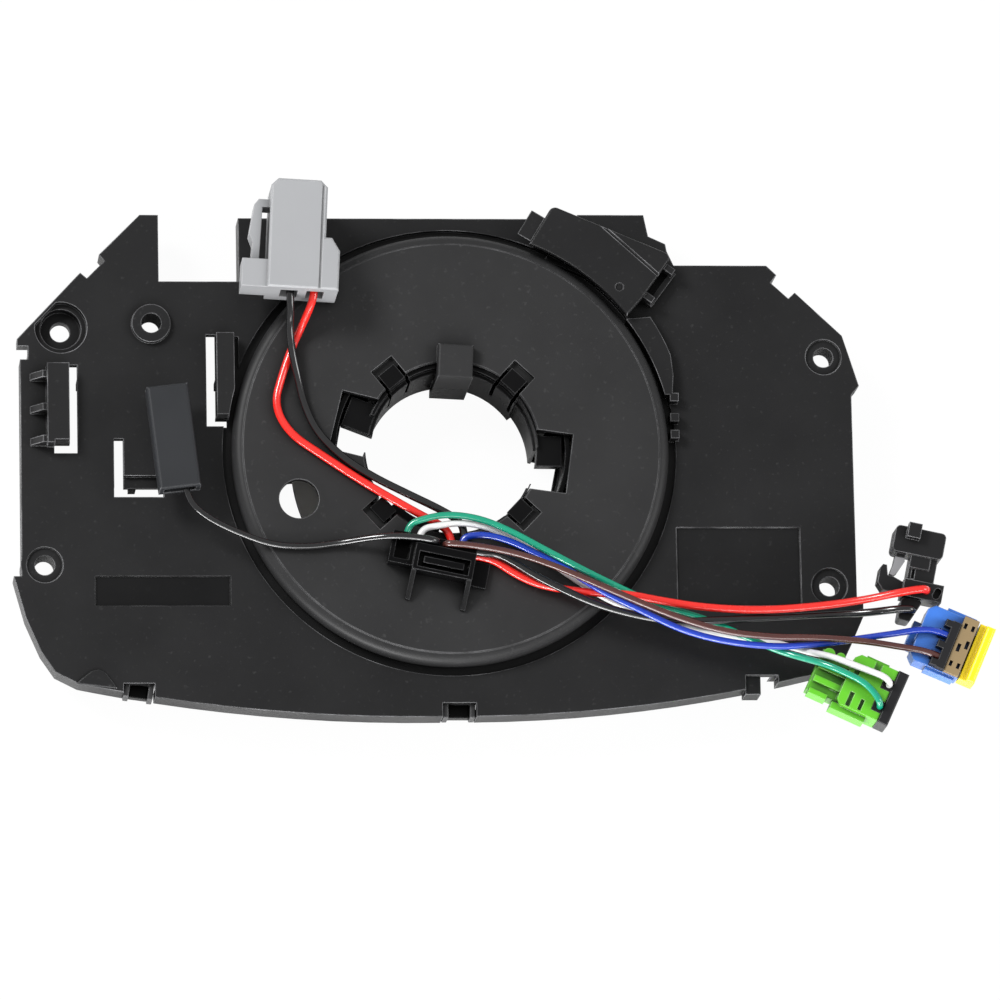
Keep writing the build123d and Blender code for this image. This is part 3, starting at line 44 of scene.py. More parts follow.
scene = bpy.context.scene

# Camera: long lens from in front, a little to the left of the axis and below it
tilt_side = math.radians(5.45)
tilt_up = math.radians(11.8)
camera_distance = 2.0
image_width = 1000.0
sensor_width = 36.0
pixels_per_metre = 4410.0
target_right = 50.3 / pixels_per_metre
target_down = 47.9 / pixels_per_metre
right = Vector((
    math.cos(tilt_side), -math.sin(tilt_side) * math.sin(tilt_up), math.sin(tilt_side) * math.cos(tilt_up)))
up = Vector((0.0, math.cos(tilt_up), math.sin(tilt_up)))
towards = right.cross(up)
target = right * target_right - up * target_down
camera_data = bpy.data.cameras.new("camera")
camera_data.sensor_width = sensor_width
camera_data.lens = sensor_width * pixels_per_metre * camera_distance / image_width
camera_data.clip_start = 0.05
camera_data.clip_end = 20.0
camera = bpy.data.objects.new("camera", camera_data)
scene.collection.objects.link(camera)
turn = Matrix((right, up, towards)).transposed()
camera.matrix_world = Matrix.Translation(target + towards * camera_distance) @ turn.to_4x4()
scene.camera = camera
scene.view_settings.view_transform = "Standard"

# What the plastics share: scales per metre, lengths in metres, and the parts of each measure that are used
mottle_scale = 42.0
mottle_range = (0.3, 0.7)
gloss_spread = 0.05
grain_strength = 0.35
grain_depth = 0.00002
# Painted edge highlight: the range of the edge mask, then the noise that breaks the highlight into patches
corner_range = (0.985, 0.86)
highlight_break_scale = 150.0
highlight_break_range = (0.38, 0.62)
highlight_break_share = (0.25, 1.0)
# Specks of dust
dust_scale = 900.0
dust_range = (0.62, 0.78)
dust_grey = (0.25, 0.25, 0.25)
# Painted shade: how far the occlusion that darkens crevices reaches, and the part of its measure that darkens
crevice_width = 0.0035
crevice_range = (0.3, 0.95)

# The contacts and the sheaths of the leads
contact_scale = 1800.0
sheath_scale = 260.0
sheath_strength = 0.2
sheath_depth = 0.00003
sheath_least_roughness = 0.08


def link(tree, source, target_socket):
    """Feeds one socket into another."""
    tree.links.new(source, target_socket)


def new_material(name, uniform):
    """A material with its uniform values set; also its tree, its shader and its object coordinates."""
    material = bpy.data.materials.new(name)
    material.use_nodes = True
    tree = material.node_tree
    shader = tree.nodes["Principled BSDF"]
    for socket_name, value in uniform.items():
        shader.inputs[socket_name].default_value = value
    place = tree.nodes.new("ShaderNodeTexCoord")
    return material, tree, shader, place.outputs["Object"]


def noise(tree, position, scale, detail=2.0, roughness=0.5):
    """Noise through the part, as a socket."""
    texture = tree.nodes.new("ShaderNodeTexNoise")
    texture.inputs["Scale"].default_value = scale
    texture.inputs["Detail"].default_value = detail
    texture.inputs["Roughness"].default_value = roughness
    link(tree, position, texture.inputs["Vector"])
    return texture.outputs["Fac"]


def ranged(tree, value, before, after):
    """A value moved from one range to another and held between its ends."""
    remap = tree.nodes.new("ShaderNodeMapRange")
    remap.inputs["From Min"].default_value, remap.inputs["From Max"].default_value = before
    remap.inputs["To Min"].default_value, remap.inputs["To Max"].default_value = after
    link(tree, value, remap.inputs["Value"])
    return remap.outputs["Result"]


def relief(tree, height, strength, depth):
    """A bump from a height; the node, for its normals."""
    bump = tree.nodes.new("ShaderNodeBump")
    bump.inputs["Strength"].default_value = strength
    bump.inputs["Distance"].default_value = depth
    link(tree, height, bump.inputs["Height"])
    return bump


def varied(tree, amount, colour, darkest, lightest):
    """A colour that varies between two multiples of itself."""
    shade = tree.nodes.new("ShaderNodeMix")
    shade.data_type = "RGBA"
    shade.inputs["A"].default_value = (*[c * darkest for c in colour], 1)
    shade.inputs["B"].default_value = (*[min(1.0, c * lightest) for c in colour], 1)
    link(tree, amount, shade.inputs["Factor"])
    return shade.outputs["Result"]


def patched(tree, under, amount, colour):
    """A colour laid over another by an amount."""
    patch = tree.nodes.new("ShaderNodeMix")
    patch.data_type = "RGBA"
    patch.inputs["B"].default_value = (*colour, 1)
    link(tree, amount, patch.inputs["Factor"])
    link(tree, under, patch.inputs["A"])
    return patch.outputs["Result"]


def product(tree, first, second):
    """Two values multiplied."""
    times = tree.nodes.new("ShaderNodeMath")
    times.operation = "MULTIPLY"
    link(tree, first, times.inputs[0])
    link(tree, second, times.inputs[1])
    return times.outputs["Value"]


def moulded(name, colour, roughness, grain=2600.0, edge=0.0004, tone=0.25, coat=0.0, specular=0.5,
            dust=0.0, edge_highlight=0.0, edge_highlight_colour=(0.3, 0.3, 0.31), darkest_painted_shade=0.12, lit_places=()):
    """Moulded plastic: rounded edges with a painted highlight broken up by noise, painted shade in crevices and
    between parts, fine grain, uneven gloss, specks of dust.

    Each of lit_places is (where, colour): where builds the socket that says how much of that colour shows.
    They lie over everything else, the painted crevice shade too, which does not darken them.
    """
    material, tree, shader, position = new_material(
        name, {"Specular IOR Level": specular, "Coat Weight": coat, "Coat Roughness": 0.12})
    rounded = tree.nodes.new("ShaderNodeBevel")
    rounded.samples = 6
    rounded.inputs["Radius"].default_value = edge
    grainy = relief(tree, noise(tree, position, grain, detail=3.0), grain_strength, grain_depth)
    link(tree, rounded.outputs["Normal"], grainy.inputs["Normal"])
    link(tree, grainy.outputs["Normal"], shader.inputs["Normal"])

    mottle = noise(tree, position, mottle_scale, detail=6.0, roughness=0.6)
    gloss_range = (roughness - gloss_spread, roughness + gloss_spread)
    link(tree, ranged(tree, mottle, mottle_range, gloss_range), shader.inputs["Roughness"])
    result = varied(tree, mottle, colour, 1 - tone, 1 + tone)

    # Painted highlight: a pale colour laid along rounded edges, where glossy edges would catch the lamps, broken
    # up by noise
    if edge_highlight > 0:
        true_face = tree.nodes.new("ShaderNodeNewGeometry")
        agree = tree.nodes.new("ShaderNodeVectorMath")
        agree.operation = "DOT_PRODUCT"
        link(tree, rounded.outputs["Normal"], agree.inputs[0])
        link(tree, true_face.outputs["Normal"], agree.inputs[1])
        corner = ranged(tree, agree.outputs["Value"], corner_range, (0.0, edge_highlight))
        highlight_breaks = ranged(tree, noise(tree, position, highlight_break_scale, detail=5.0), highlight_break_range, highlight_break_share)
        result = patched(tree, result, product(tree, corner, highlight_breaks), edge_highlight_colour)
    if dust > 0:
        specks = ranged(tree, noise(tree, position, dust_scale, detail=8.0), dust_range, (0.0, dust))
        result = patched(tree, result, specks, dust_grey)

    # Painted shade: ambient occlusion darkens the colour in crevices and between parts, down to the darkest share
    # given
    nearby = tree.nodes.new("ShaderNodeAmbientOcclusion")
    nearby.samples = 4
    nearby.inputs["Distance"].default_value = crevice_width
    painted_crevice_shade = tree.nodes.new("ShaderNodeMix")
    painted_crevice_shade.data_type = "RGBA"
    painted_crevice_shade.blend_type = "MULTIPLY"
    painted_crevice_shade.inputs["Factor"].default_value = 1.0
    link(tree, result, painted_crevice_shade.inputs["A"])
    link(tree, ranged(tree, nearby.outputs["AO"], crevice_range, (darkest_painted_shade, 1.0)), painted_crevice_shade.inputs["B"])
    result = painted_crevice_shade.outputs["Result"]
    for where, place_colour in lit_places:
        result = patched(tree, result, where(tree, position), place_colour)
    link(tree, result, shader.inputs["Base Color"])
    return material


def in_rectangle(middle, size, amount):
    """How much of a colour shows: amount inside a rectangle in the XY plane, 0 outside it."""
    def where(tree, position):
        offset = tree.nodes.new("ShaderNodeVectorMath")
        offset.operation = "SUBTRACT"
        offset.inputs[1].default_value = (*middle, 0.0)
        link(tree, position, offset.inputs[0])
        split = tree.nodes.new("ShaderNodeSeparateXYZ")
        link(tree, offset.outputs["Vector"], split.inputs[0])
        inside = []
        for axis, extent in zip("XY", size):
            distance = tree.nodes.new("ShaderNodeMath")
            distance.operation = "ABSOLUTE"
            link(tree, split.outputs[axis], distance.inputs[0])
            within = tree.nodes.new("ShaderNodeMath")
            within.operation = "LESS_THAN"
            within.inputs[1].default_value = extent / 2
            link(tree, distance.outputs["Value"], within.inputs[0])
            inside.append(within.outputs["Value"])
        return ranged(tree, product(tree, *inside), (0.0, 1.0), (0.0, amount))
    return where


def beyond_radius(radius, amount):
    """How much of a colour shows: amount beyond a radius about the Z axis, 0 within it."""
    soft_edge = 0.0004

    def where(tree, position):
        flat = tree.nodes.new("ShaderNodeVectorMath")
        flat.operation = "MULTIPLY"
        flat.inputs[1].default_value = (1.0, 1.0, 0.0)
        link(tree, position, flat.inputs[0])
        distance = tree.nodes.new("ShaderNodeVectorMath")
        distance.operation = "LENGTH"
        link(tree, flat.outputs["Vector"], distance.inputs[0])
        return ranged(tree, distance.outputs["Value"], (radius, radius + soft_edge), (0.0, amount))
    return where


def metal(name, colour, roughness):
    """Plated contact metal with a fine uneven shade and gloss."""
    material, tree, shader, position = new_material(name, {"Metallic": 1.0})
    fine = noise(tree, position, contact_scale)
    link(tree, varied(tree, fine, colour, 0.8, 1.0), shader.inputs["Base Color"])
    gloss_range = (roughness - 0.08, roughness + 0.1)
    link(tree, ranged(tree, fine, (0.0, 1.0), gloss_range), shader.inputs["Roughness"])
    return material


def insulation(name, colour, roughness=0.24):
    """Smooth extruded sheath: faint waves, slight shade changes, a soft gloss."""
    material, tree, shader, position = new_material(
        name, {"Specular IOR Level": 0.5, "Coat Weight": 0.4, "Coat Roughness": 0.07})
    waves = noise(tree, position, sheath_scale, detail=4.0)
    link(tree, relief(tree, waves, sheath_strength, sheath_depth).outputs["Normal"], shader.inputs["Normal"])
    link(tree, varied(tree, waves, colour, 0.86, 1.1), shader.inputs["Base Color"])
    gloss_range = (max(sheath_least_roughness, roughness - 0.1), roughness + 0.12)
    link(tree, ranged(tree, waves, (0.0, 1.0), gloss_range), shader.inputs["Roughness"])
    return material


# Places with a colour laid over the plastic's: the two dark panels of the plate; and the hub's flange under the
# window in the disc, a grey surface painted near white, painted light that stands in for the light the deep window
# keeps off it
panel_black = (0.001, 0.001, 0.0012)
sunken_panels = (
    (in_rectangle((-0.0654, -0.0320), (0.0307, 0.0070), 0.85), panel_black),
    (in_rectangle((0.0654, -0.0265), (0.0285, 0.0183), 0.35), panel_black),
)
# Painted light: the flange beyond this radius is painted near white, paler than its real grey, and no painted
# shade darkens it
flange_painted_light = ((beyond_radius(0.0275, 1.0), (0.92, 0.92, 0.93)),)

plastics = {
    "body_black": dict(
        colour=(0.0088, 0.0088, 0.0092), roughness=0.4, specular=0.16, dust=0.05, edge_highlight=0.8, darkest_painted_shade=0.08,
        lit_places=sunken_panels),
    "disc_black": dict(
        colour=(0.0145, 0.0145, 0.015), roughness=0.48, specular=0.19, grain=3200.0, dust=0.06, edge_highlight=0.55,
        darkest_painted_shade=0.06),
    # A darker black than the other plastics, partly painted shade: it darkens the catch pockets and the bore,
    # where the hub shows
    "hub_black": dict(
        colour=(0.0022, 0.0022, 0.0024), roughness=0.3, specular=0.1, edge_highlight=0.22, darkest_painted_shade=0.05,
        lit_places=flange_painted_light),
    "lid_black": dict(
        colour=(0.0088, 0.0088, 0.0092), roughness=0.36, specular=0.175, dust=0.04, edge_highlight=0.85, darkest_painted_shade=0.08),
    "guide_black": dict(
        colour=(0.0022, 0.0022, 0.0024), roughness=0.28, specular=0.07, edge_highlight=0.2, darkest_painted_shade=0.06),
    # Frame of the edge clips: a slightly paler black, its pale look mostly painted edge highlight
    "clip_pale": dict(
        colour=(0.03, 0.03, 0.031), roughness=0.4, specular=0.25, edge_highlight=0.8, darkest_painted_shade=0.1),
    "ribbon": dict(
        colour=(0.55, 0.5, 0.4), roughness=0.3, edge=0.00005, coat=0.3),
    "plug_grey": dict(
        colour=(0.231, 0.235, 0.243), roughness=0.5, tone=0.05, darkest_painted_shade=0.3, edge_highlight=0.5, edge_highlight_colour=(0.5, 0.5, 0.51)),
    "sleeve_dark": dict(
        colour=(0.0155, 0.0165, 0.0185), roughness=0.44, tone=0.15, specular=0.19, edge_highlight=0.5),
    "plug_green": dict(
        colour=(0.082, 0.375, 0.0075), roughness=0.4, tone=0.08, darkest_painted_shade=0.2, edge_highlight=0.5,
        edge_highlight_colour=(0.35, 0.65, 0.2)),
    "cap_dark": dict(
        colour=(0.010, 0.010, 0.011), roughness=0.4, edge=0.0002, specular=0.19, edge_highlight=0.6),
    "plug_blue": dict(
        colour=(0.033, 0.147, 0.536), roughness=0.34, tone=0.08, darkest_painted_shade=0.2, edge_highlight=0.5,
        edge_highlight_colour=(0.3, 0.45, 0.75)),
    "comb_beige": dict(
        colour=(0.189, 0.131, 0.0595), roughness=0.5, tone=0.08, edge=0.0002, darkest_painted_shade=0.2),
    "lock_yellow": dict(
        colour=(1.0, 0.74, 0.006), roughness=0.34, tone=0.03, darkest_painted_shade=0.5),
    "plug_black": dict(
        colour=(0.008, 0.008, 0.0085), roughness=0.36, specular=0.2, edge_highlight=0.9, darkest_painted_shade=0.06),
    "insert_grey": dict(
        colour=(0.16, 0.16, 0.167), roughness=0.45, tone=0.06, edge=0.0002),
}
sheaths = {
    "lead_red": dict(colour=(0.6, 0.013, 0.008)),
    "lead_black": dict(colour=(0.0045, 0.0045, 0.005), roughness=0.16),
    "lead_green": dict(colour=(0.0, 0.225, 0.13)),
    "lead_white": dict(colour=(0.6, 0.6, 0.6), roughness=0.34),
    "lead_blue": dict(colour=(0.003, 0.028, 0.3)),
    "lead_brown": dict(colour=(0.053, 0.014, 0.011), roughness=0.26),
}
finishes = {name: moulded(name, **look) for name, look in plastics.items()}
finishes["contact"] = metal("contact", (0.72, 0.66, 0.5), 0.3)
finishes.update({name: insulation(name, **look) for name, look in sheaths.items()})

slot_of = {entry["node"]: entry["material_slot"] for entry in frame["record"]["subparts"]}
slot_of["lead_guide"] = "guide_black"
for node_name, node in nodes.items():
    for holder in node.material_slots:
        holder.material = finishes[slot_of[node_name]]

# Leads: the diameter and the route of each, in metres, from one end to the other
lead_routes = {
    "red_lead_left": (0.0018, [
        (-0.03100, 0.03710, 0.01300), (-0.03120, 0.03370, 0.01300), (-0.03220, 0.03060, 0.01160),
        (-0.03380, 0.02740, 0.00800), (-0.03600, 0.02280, 0.00630), (-0.03830, 0.01640, 0.00620),
        (-0.04020, 0.00960, 0.00620), (-0.03690, 0.00300, 0.00620), (-0.02960, -0.00200, 0.00620),
        (-0.02130, -0.00760, 0.00620), (-0.01420, -0.01190, 0.00620), (-0.00720, -0.01590, 0.00620),
        (-0.00260, -0.01830, 0.00620), (-0.00080, -0.02040, 0.00620), (-0.00040, -0.02245, 0.00620),
    ]),
    "black_lead_left": (0.0018, [
        (-0.03680, 0.03740, 0.01300), (-0.03670, 0.03400, 0.01300), (-0.03650, 0.03060, 0.01200),
        (-0.03670, 0.02640, 0.00920), (-0.03600, 0.02060, 0.00850), (-0.03470, 0.01560, 0.00670),
        (-0.03360, 0.01000, 0.00620), (-0.03080, 0.00340, 0.00620), (-0.02460, -0.00290, 0.00620),
        (-0.01760, -0.00730, 0.00620), (-0.01020, -0.01100, 0.00620), (-0.00280, -0.01460, 0.00620),
        (0.00170, -0.01740, 0.00620), (0.00240, -0.02030, 0.00620), (0.00257, -0.02306, 0.00620),
    ]),
    "sleeve_lead": (0.0015, [
        (-0.06109, -0.00659, 0.00950), (-0.06062, -0.01057, 0.00950), (-0.05900, -0.01440, 0.00920),
        (-0.05460, -0.01760, 0.00860), (-0.04880, -0.02020, 0.00760), (-0.04100, -0.02280, 0.00620),
        (-0.03250, -0.02320, 0.00610), (-0.02560, -0.02220, 0.00630), (-0.01960, -0.02170, 0.00900),
        (-0.01460, -0.02150, 0.01070), (-0.00960, -0.02180, 0.01080), (-0.00660, -0.02220, 0.01080),
        (-0.00450, -0.02260, 0.01070), (-0.00388, -0.02270, 0.00920),
    ]),
    "green_lead": (0.0015, [
        (-0.01070, -0.02031, 0.00800), (-0.01030, -0.01850, 0.00830), (-0.00730, -0.01730, 0.00900),
        (-0.00160, -0.01630, 0.00960), (0.00540, -0.01730, 0.01000), (0.01200, -0.02010, 0.01040),
        (0.01980, -0.02450, 0.01060), (0.02910, -0.02920, 0.00920), (0.03800, -0.03320, 0.00730),
        (0.04620, -0.03700, 0.00700), (0.05450, -0.03920, 0.00700), (0.05960, -0.04140, 0.00720),
        (0.06480, -0.04410, 0.00880), (0.07020, -0.04670, 0.00910), (0.07440, -0.04840, 0.00970),
        (0.07820, -0.05000, 0.01200), (0.08240, -0.05200, 0.01560), (0.08660, -0.05420, 0.01710),
        (0.09080, -0.05650, 0.01770), (0.09360, -0.05960, 0.01790), (0.09448, -0.06170, 0.01750),
        (0.09448, -0.06170, 0.01540),
    ]),
    "white_lead": (0.0015, [
        (-0.00781, -0.02091, 0.00800), (-0.00720, -0.01940, 0.00820), (-0.00420, -0.01880, 0.00840),
        (0.00120, -0.01800, 0.00840), (0.00640, -0.01870, 0.00820), (0.01260, -0.02120, 0.00760),
        (0.01900, -0.02500, 0.00710), (0.02600, -0.03000, 0.00710), (0.03340, -0.03500, 0.00710),
        (0.04100, -0.03830, 0.00710), (0.05060, -0.04160, 0.00710), (0.06040, -0.04420, 0.00710),
        (0.06960, -0.04490, 0.00720), (0.07600, -0.04670, 0.00840), (0.07984, -0.04839, 0.01060),
        (0.08247, -0.04961, 0.01400), (0.08483, -0.05071, 0.01600), (0.08881, -0.05257, 0.01720),
        (0.09307, -0.05433, 0.01770), (0.09570, -0.05550, 0.01790), (0.09678, -0.05680, 0.01750),
        (0.09678, -0.05680, 0.01540),
    ]),
    "blue_lead": (0.0015, [
        (0.00169, -0.02288, 0.00820), (0.00190, -0.02160, 0.00830), (0.00380, -0.02100, 0.00870),
        (0.00760, -0.02100, 0.00900), (0.01260, -0.02240, 0.00900), (0.01900, -0.02550, 0.00880),
        (0.02500, -0.02860, 0.00890), (0.03020, -0.03260, 0.01040), (0.03460, -0.03540, 0.01120),
        (0.04140, -0.03870, 0.01110), (0.05060, -0.04330, 0.01070), (0.06060, -0.04600, 0.01080),
        (0.07180, -0.04730, 0.01130), (0.08060, -0.04680, 0.01150), (0.08720, -0.04600, 0.01160),
        (0.09360, -0.04520, 0.01260), (0.09940, -0.04460, 0.01380), (0.10420, -0.04390, 0.01440),
        (0.10805, -0.04410, 0.01430), (0.11053, -0.04520, 0.01430),
    ]),
    "brown_lead": (0.0015, [
        (-0.00216, -0.02320, 0.00920), (-0.00200, -0.02320, 0.01060), (0.00020, -0.02340, 0.01080),
        (0.00440, -0.02380, 0.01070), (0.01040, -0.02480, 0.01080), (0.01660, -0.02650, 0.01110),
        (0.02320, -0.02910, 0.01180), (0.03060, -0.03250, 0.01240), (0.03840, -0.03600, 0.01250),
        (0.04960, -0.04070, 0.01220), (0.06060, -0.04400, 0.01190), (0.07160, -0.04530, 0.01240),
        (0.08000, -0.04540, 0.01290), (0.08700, -0.04590, 0.01340), (0.09360, -0.04670, 0.01380),
        (0.09940, -0.04780, 0.01430), (0.10380, -0.04850, 0.01440), (0.10620, -0.04910, 0.01430),
        (0.10842, -0.05006, 0.01430),
    ]),
    "red_lead_right": (0.0018, [
        (0.00484, -0.02537, 0.00630), (0.00660, -0.02560, 0.00630), (0.00960, -0.02660, 0.00640),
        (0.01340, -0.02940, 0.00680), (0.01860, -0.03200, 0.00710), (0.02540, -0.03340, 0.00750),
        (0.03220, -0.03450, 0.00920), (0.03880, -0.03470, 0.00940), (0.04600, -0.03620, 0.00940),
        (0.05660, -0.03790, 0.00920), (0.06980, -0.03850, 0.00930), (0.08240, -0.03770, 0.01020),
        (0.09160, -0.03680, 0.01240), (0.09820, -0.03590, 0.01520), (0.10300, -0.03510, 0.01600),
        (0.10605, -0.03490, 0.01620), (0.10605, -0.03490, 0.01410),
    ]),
    "black_lead_right": (0.0018, [
        (0.00497, -0.02478, 0.00830), (0.00680, -0.02510, 0.00830), (0.00980, -0.02520, 0.00820),
        (0.01360, -0.02730, 0.00830), (0.01800, -0.03040, 0.00900), (0.02400, -0.03360, 0.00950),
        (0.03160, -0.03710, 0.00930), (0.04060, -0.03960, 0.00900), (0.04960, -0.04110, 0.00910),
        (0.05760, -0.04080, 0.00920), (0.06560, -0.04020, 0.00820), (0.07560, -0.03960, 0.00760),
        (0.08500, -0.03920, 0.00820), (0.09260, -0.03930, 0.01040), (0.09760, -0.03930, 0.01380),
        (0.10060, -0.03920, 0.01480), (0.10290, -0.03930, 0.01480), (0.10290, -0.03930, 0.01270),
    ]),
}
# The sheath's colour, the place in the route that leaves the lead guide, the far end, and the pieces carried there
lead_facts = {
    "red_lead_left": ("lead_red", -1, "connector", ["grey_plug"]),
    "black_lead_left": ("lead_black", -1, "connector", ["grey_terminals"]),
    "sleeve_lead": ("lead_black", -1, "connector", ["lead_sleeve", "sleeve_terminal"]),
    "green_lead": ("lead_green", 0, "plug", ["green_plug"]),
    "white_lead": ("lead_white", 0, "plug", ["green_plug_cap"]),
    "blue_lead": ("lead_blue", 0, "plug", ["blue_plug", "yellow_lock"]),
    "brown_lead": ("lead_brown", 0, "plug", ["blue_plug_cap", "blue_plug_comb"]),
    "red_lead_right": ("lead_red", 0, "plug", ["black_plug", "black_plug_lock"]),
    "black_lead_right": ("lead_black", 0, "plug", ["black_plug_cover"]),
}


def line_length(points):
    """Length of a chain of points."""
    return sum((b - a).length for a, b in zip(points, points[1:]))


def curve_length(data):
    """Length of a curve's middle line, measured on a bare copy that is removed again."""
    bare = data.copy()
    bare.bevel_depth = 0.0
    probe = bpy.data.objects.new("probe", bare)
    scene.collection.objects.link(probe)
    bpy.context.view_layer.update()
    mesh = bpy.data.meshes.new_from_object(probe.evaluated_get(bpy.context.evaluated_depsgraph_get()))
    length = line_length([vertex.co.copy() for vertex in mesh.vertices])
    bpy.data.objects.remove(probe)
    bpy.data.curves.remove(bare)
    bpy.data.meshes.remove(mesh)
    return length


def lead(name, diameter, route):
    """One lead as a smooth round sheath along its route."""
    slot_name, exit_end, far_end, carried = lead_facts[name]
    data = bpy.data.curves.new(name + "_sheath", "CURVE")
    data.dimensions = "3D"
    data.resolution_u = 10
    data.bevel_depth = diameter / 2
    data.bevel_resolution = 5
    data.use_fill_caps = True
    spline = data.splines.new("NURBS")
    spline.points.add(len(route) - 1)
    for point, place in zip(spline.points, route):
        point.co = (*place, 1.0)
    spline.order_u = 3
    spline.use_endpoint_u = True
    sheath = bpy.data.objects.new(name + "_sheath", data)
    scene.collection.objects.link(sheath)
    data.materials.append(finishes[slot_name])
    length = curve_length(data)
    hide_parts(name)
    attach(sheath, "rotor")


for lead_name, (lead_diameter, lead_route) in lead_routes.items():
    lead(lead_name, lead_diameter, lead_route)


def prism(mesh, outline, low, high, turn, place):
    """Adds a straight-walled block with the given outline, turned and placed in the XY plane."""
    cosine, sine = math.cos(turn), math.sin(turn)
    spots = [(place[0] + cosine * x - sine * y, place[1] + sine * x + cosine * y) for x, y in outline]
    bottom = [mesh.verts.new((x, y, low)) for x, y in spots]
    top = [mesh.verts.new((x, y, high)) for x, y in spots]
    mesh.faces.new(list(reversed(bottom)))
    mesh.faces.new(top)
    for i in range(len(spots)):
        j = (i + 1) % len(spots)
        mesh.faces.new((bottom[i], bottom[j], top[j], top[i]))


def moulded_piece(name, outline, levels, turn, place, finish, body, edge=0.0002):
    """One straight-walled piece between two levels, with rounded edges."""
    mesh = bmesh.new()
    prism(mesh, outline, *levels, turn, place)
    bmesh.ops.recalc_face_normals(mesh, faces=mesh.faces)
    data = bpy.data.meshes.new(name)
    mesh.to_mesh(data)
    mesh.free()
    piece = bpy.data.objects.new(name, data)
    scene.collection.objects.link(piece)
    data.materials.append(finishes[finish])
    bevel = piece.modifiers.new("rounding", "BEVEL")
    bevel.width = edge
    bevel.segments = 3
    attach(piece, body)


# Clips in the notches of the plate's lower edge: a paler frame with strong painted edge highlights, open below,
# round a dark tongue
clip_post = 0.0012
clip_back = 0.0024
clip_bar_front = 0.0012
clip_post_end = -0.0022
clip_levels = (-0.0074, -0.0012)
tongue_back = 0.0013
tongue_front = -0.0018
tongue_levels = (-0.0070, -0.0040)
for clip_name, clip_place, clip_turn, half in (
    ("left_edge_clip", (-0.0710, -0.0541), -0.14, 0.0033),
    ("middle_edge_clip", (0.0012, -0.0588), 0.0, 0.00365),
):
    inner = half - clip_post
    clip_frame = [
        (-half, clip_back), (half, clip_back), (half, clip_post_end), (inner, clip_post_end),
        (inner, clip_bar_front), (-inner, clip_bar_front), (-inner, clip_post_end), (-half, clip_post_end),
    ]
    clip_tongue = [(-inner, tongue_back), (inner, tongue_back), (inner, tongue_front), (-inner, tongue_front)]
    moulded_piece(
        clip_name, clip_frame, clip_levels, clip_turn, clip_place, "clip_pale", "housing")
    moulded_piece(
        clip_name + "_tongue", clip_tongue, tongue_levels, clip_turn, clip_place,
        "guide_black", "housing")

# Low rounded boss on the plate beside the left clip
boss_place = (-0.0806, -0.0539)
boss_turn = -0.12
boss_levels = (-0.0005, 0.0005)
boss_outline = [
    (0.0048, 0.0), (0.0034, 0.0016), (0.0018, 0.0032), (0.0009, 0.0037), (0.0, 0.0039),
    (-0.0009, 0.0037), (-0.0018, 0.0032), (-0.0034, 0.0016), (-0.0048, 0.0),
]
moulded_piece(
    "edge_boss", boss_outline, boss_levels, boss_turn, boss_place,
    "body_black", "housing", edge=0.0003)

# Dark lip of the hub under the leads, beside the lead guide
lip_inner = 0.0166
lip_outer = 0.0196
lip_start = 222.0
lip_sweep = 40.0
lip_steps = 14
lip_levels = (-0.0036, -0.0021)
lip_angles = [math.radians(lip_start + lip_sweep * i / lip_steps) for i in range(lip_steps + 1)]
lip_outline = [(lip_outer * math.cos(a), lip_outer * math.sin(a)) for a in lip_angles]
lip_outline += [(lip_inner * math.cos(a), lip_inner * math.sin(a)) for a in reversed(lip_angles)]
moulded_piece("lead_lip", lip_outline, lip_levels, 0.0, (0.0, 0.0), "hub_black", "rotor")

# Floor below the part, white to the camera apart from part of its shadow
floor_level = -0.01502
floor_reach = 4
floor_grey = 0.8
camera_share = 0.96
floor_mesh = bpy.data.meshes.new("floor")
floor_corners = [(-floor_reach, -floor_reach), (floor_reach, -floor_reach), (floor_reach, floor_reach),
                 (-floor_reach, floor_reach)]
floor_mesh.from_pydata([(x, y, floor_level) for x, y in floor_corners], [], [(0, 1, 2, 3)])
floor = bpy.data.objects.new("floor", floor_mesh)
scene.collection.objects.link(floor)
paper = bpy.data.materials.new("paper")
paper.use_nodes = True
tree = paper.node_tree
tree.nodes.remove(tree.nodes["Principled BSDF"])
matt = tree.nodes.new("ShaderNodeBsdfDiffuse")
matt.inputs["Color"].default_value = (floor_grey, floor_grey, floor_grey, 1)
glow = tree.nodes.new("ShaderNodeEmission")
glow.inputs["Color"].default_value = (1, 1, 1, 1)
path = tree.nodes.new("ShaderNodeLightPath")
seen = tree.nodes.new("ShaderNodeMath")
seen.operation = "MAXIMUM"
link(tree, path.outputs["Is Camera Ray"], seen.inputs[0])
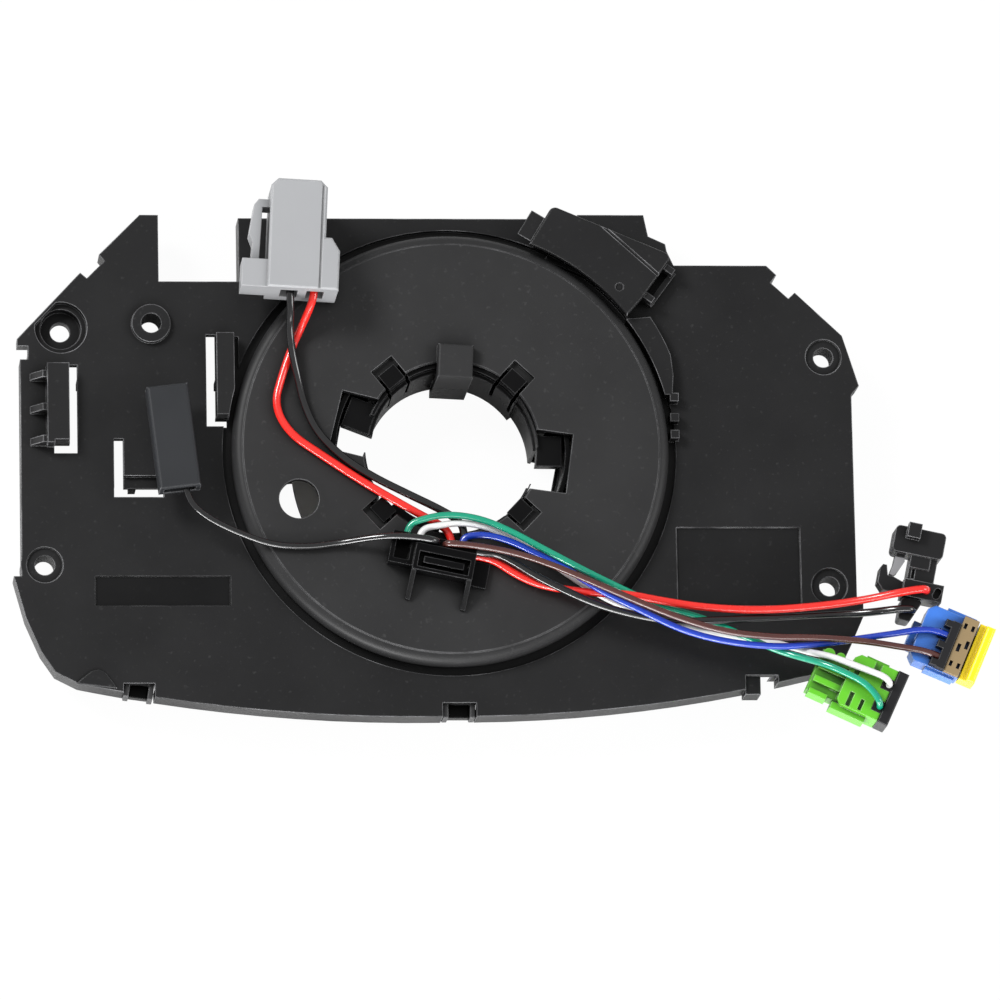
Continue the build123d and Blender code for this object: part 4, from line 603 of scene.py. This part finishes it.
link(tree, path.outputs["Is Transmission Ray"], seen.inputs[1])
share = tree.nodes.new("ShaderNodeMath")
share.operation = "MULTIPLY"
share.inputs[1].default_value = camera_share
link(tree, seen.outputs[0], share.inputs[0])
blend = tree.nodes.new("ShaderNodeMixShader")
link(tree, share.outputs[0], blend.inputs[0])
link(tree, matt.outputs[0], blend.inputs[1])
link(tree, glow.outputs[0], blend.inputs[2])
link(tree, blend.outputs[0], tree.nodes["Material Output"].inputs["Surface"])
floor_mesh.materials.append(paper)

# World: dim even light on the part, white where the camera sees it
world_strength = 0.58
world = bpy.data.worlds.new("studio")
scene.world = world
world.use_nodes = True
sky = world.node_tree
backdrop = sky.nodes["Background"]
backdrop.inputs["Color"].default_value = (1, 1, 1, 1)
backdrop.inputs["Strength"].default_value = world_strength
white = sky.nodes.new("ShaderNodeBackground")
white.inputs["Color"].default_value = (1, 1, 1, 1)
sky_path = sky.nodes.new("ShaderNodeLightPath")
either = sky.nodes.new("ShaderNodeMixShader")
link(sky, sky_path.outputs["Is Camera Ray"], either.inputs[0])
link(sky, backdrop.outputs[0], either.inputs[1])
link(sky, white.outputs[0], either.inputs[2])
link(sky, either.outputs[0], sky.nodes["World Output"].inputs["Surface"])

# Lamps: name, place, width and height in metres, and power in watts; each faces the middle of the part
for lamp_name, lamp_place, width, height, power in (
    ("key", (-0.75, 0.55, 0.95), 0.4, 0.4, 19.0),
    ("fill", (0.95, -0.2, 0.75), 0.6, 0.6, 8.5),
    ("front", (0.1, -1.0, 0.6), 0.9, 0.3, 7.0),
    ("low", (-0.45, -1.1, 0.1), 0.9, 0.2, 20.0),
):
    lamp_data = bpy.data.lights.new(lamp_name, "AREA")
    lamp_data.shape = "RECTANGLE"
    lamp_data.size = width
    lamp_data.size_y = height
    lamp_data.energy = power
    lamp = bpy.data.objects.new(lamp_name, lamp_data)
    scene.collection.objects.link(lamp)
    lamp.location = lamp_place
    lamp.rotation_euler = (-Vector(lamp_place)).to_track_quat("-Z", "Y").to_euler()
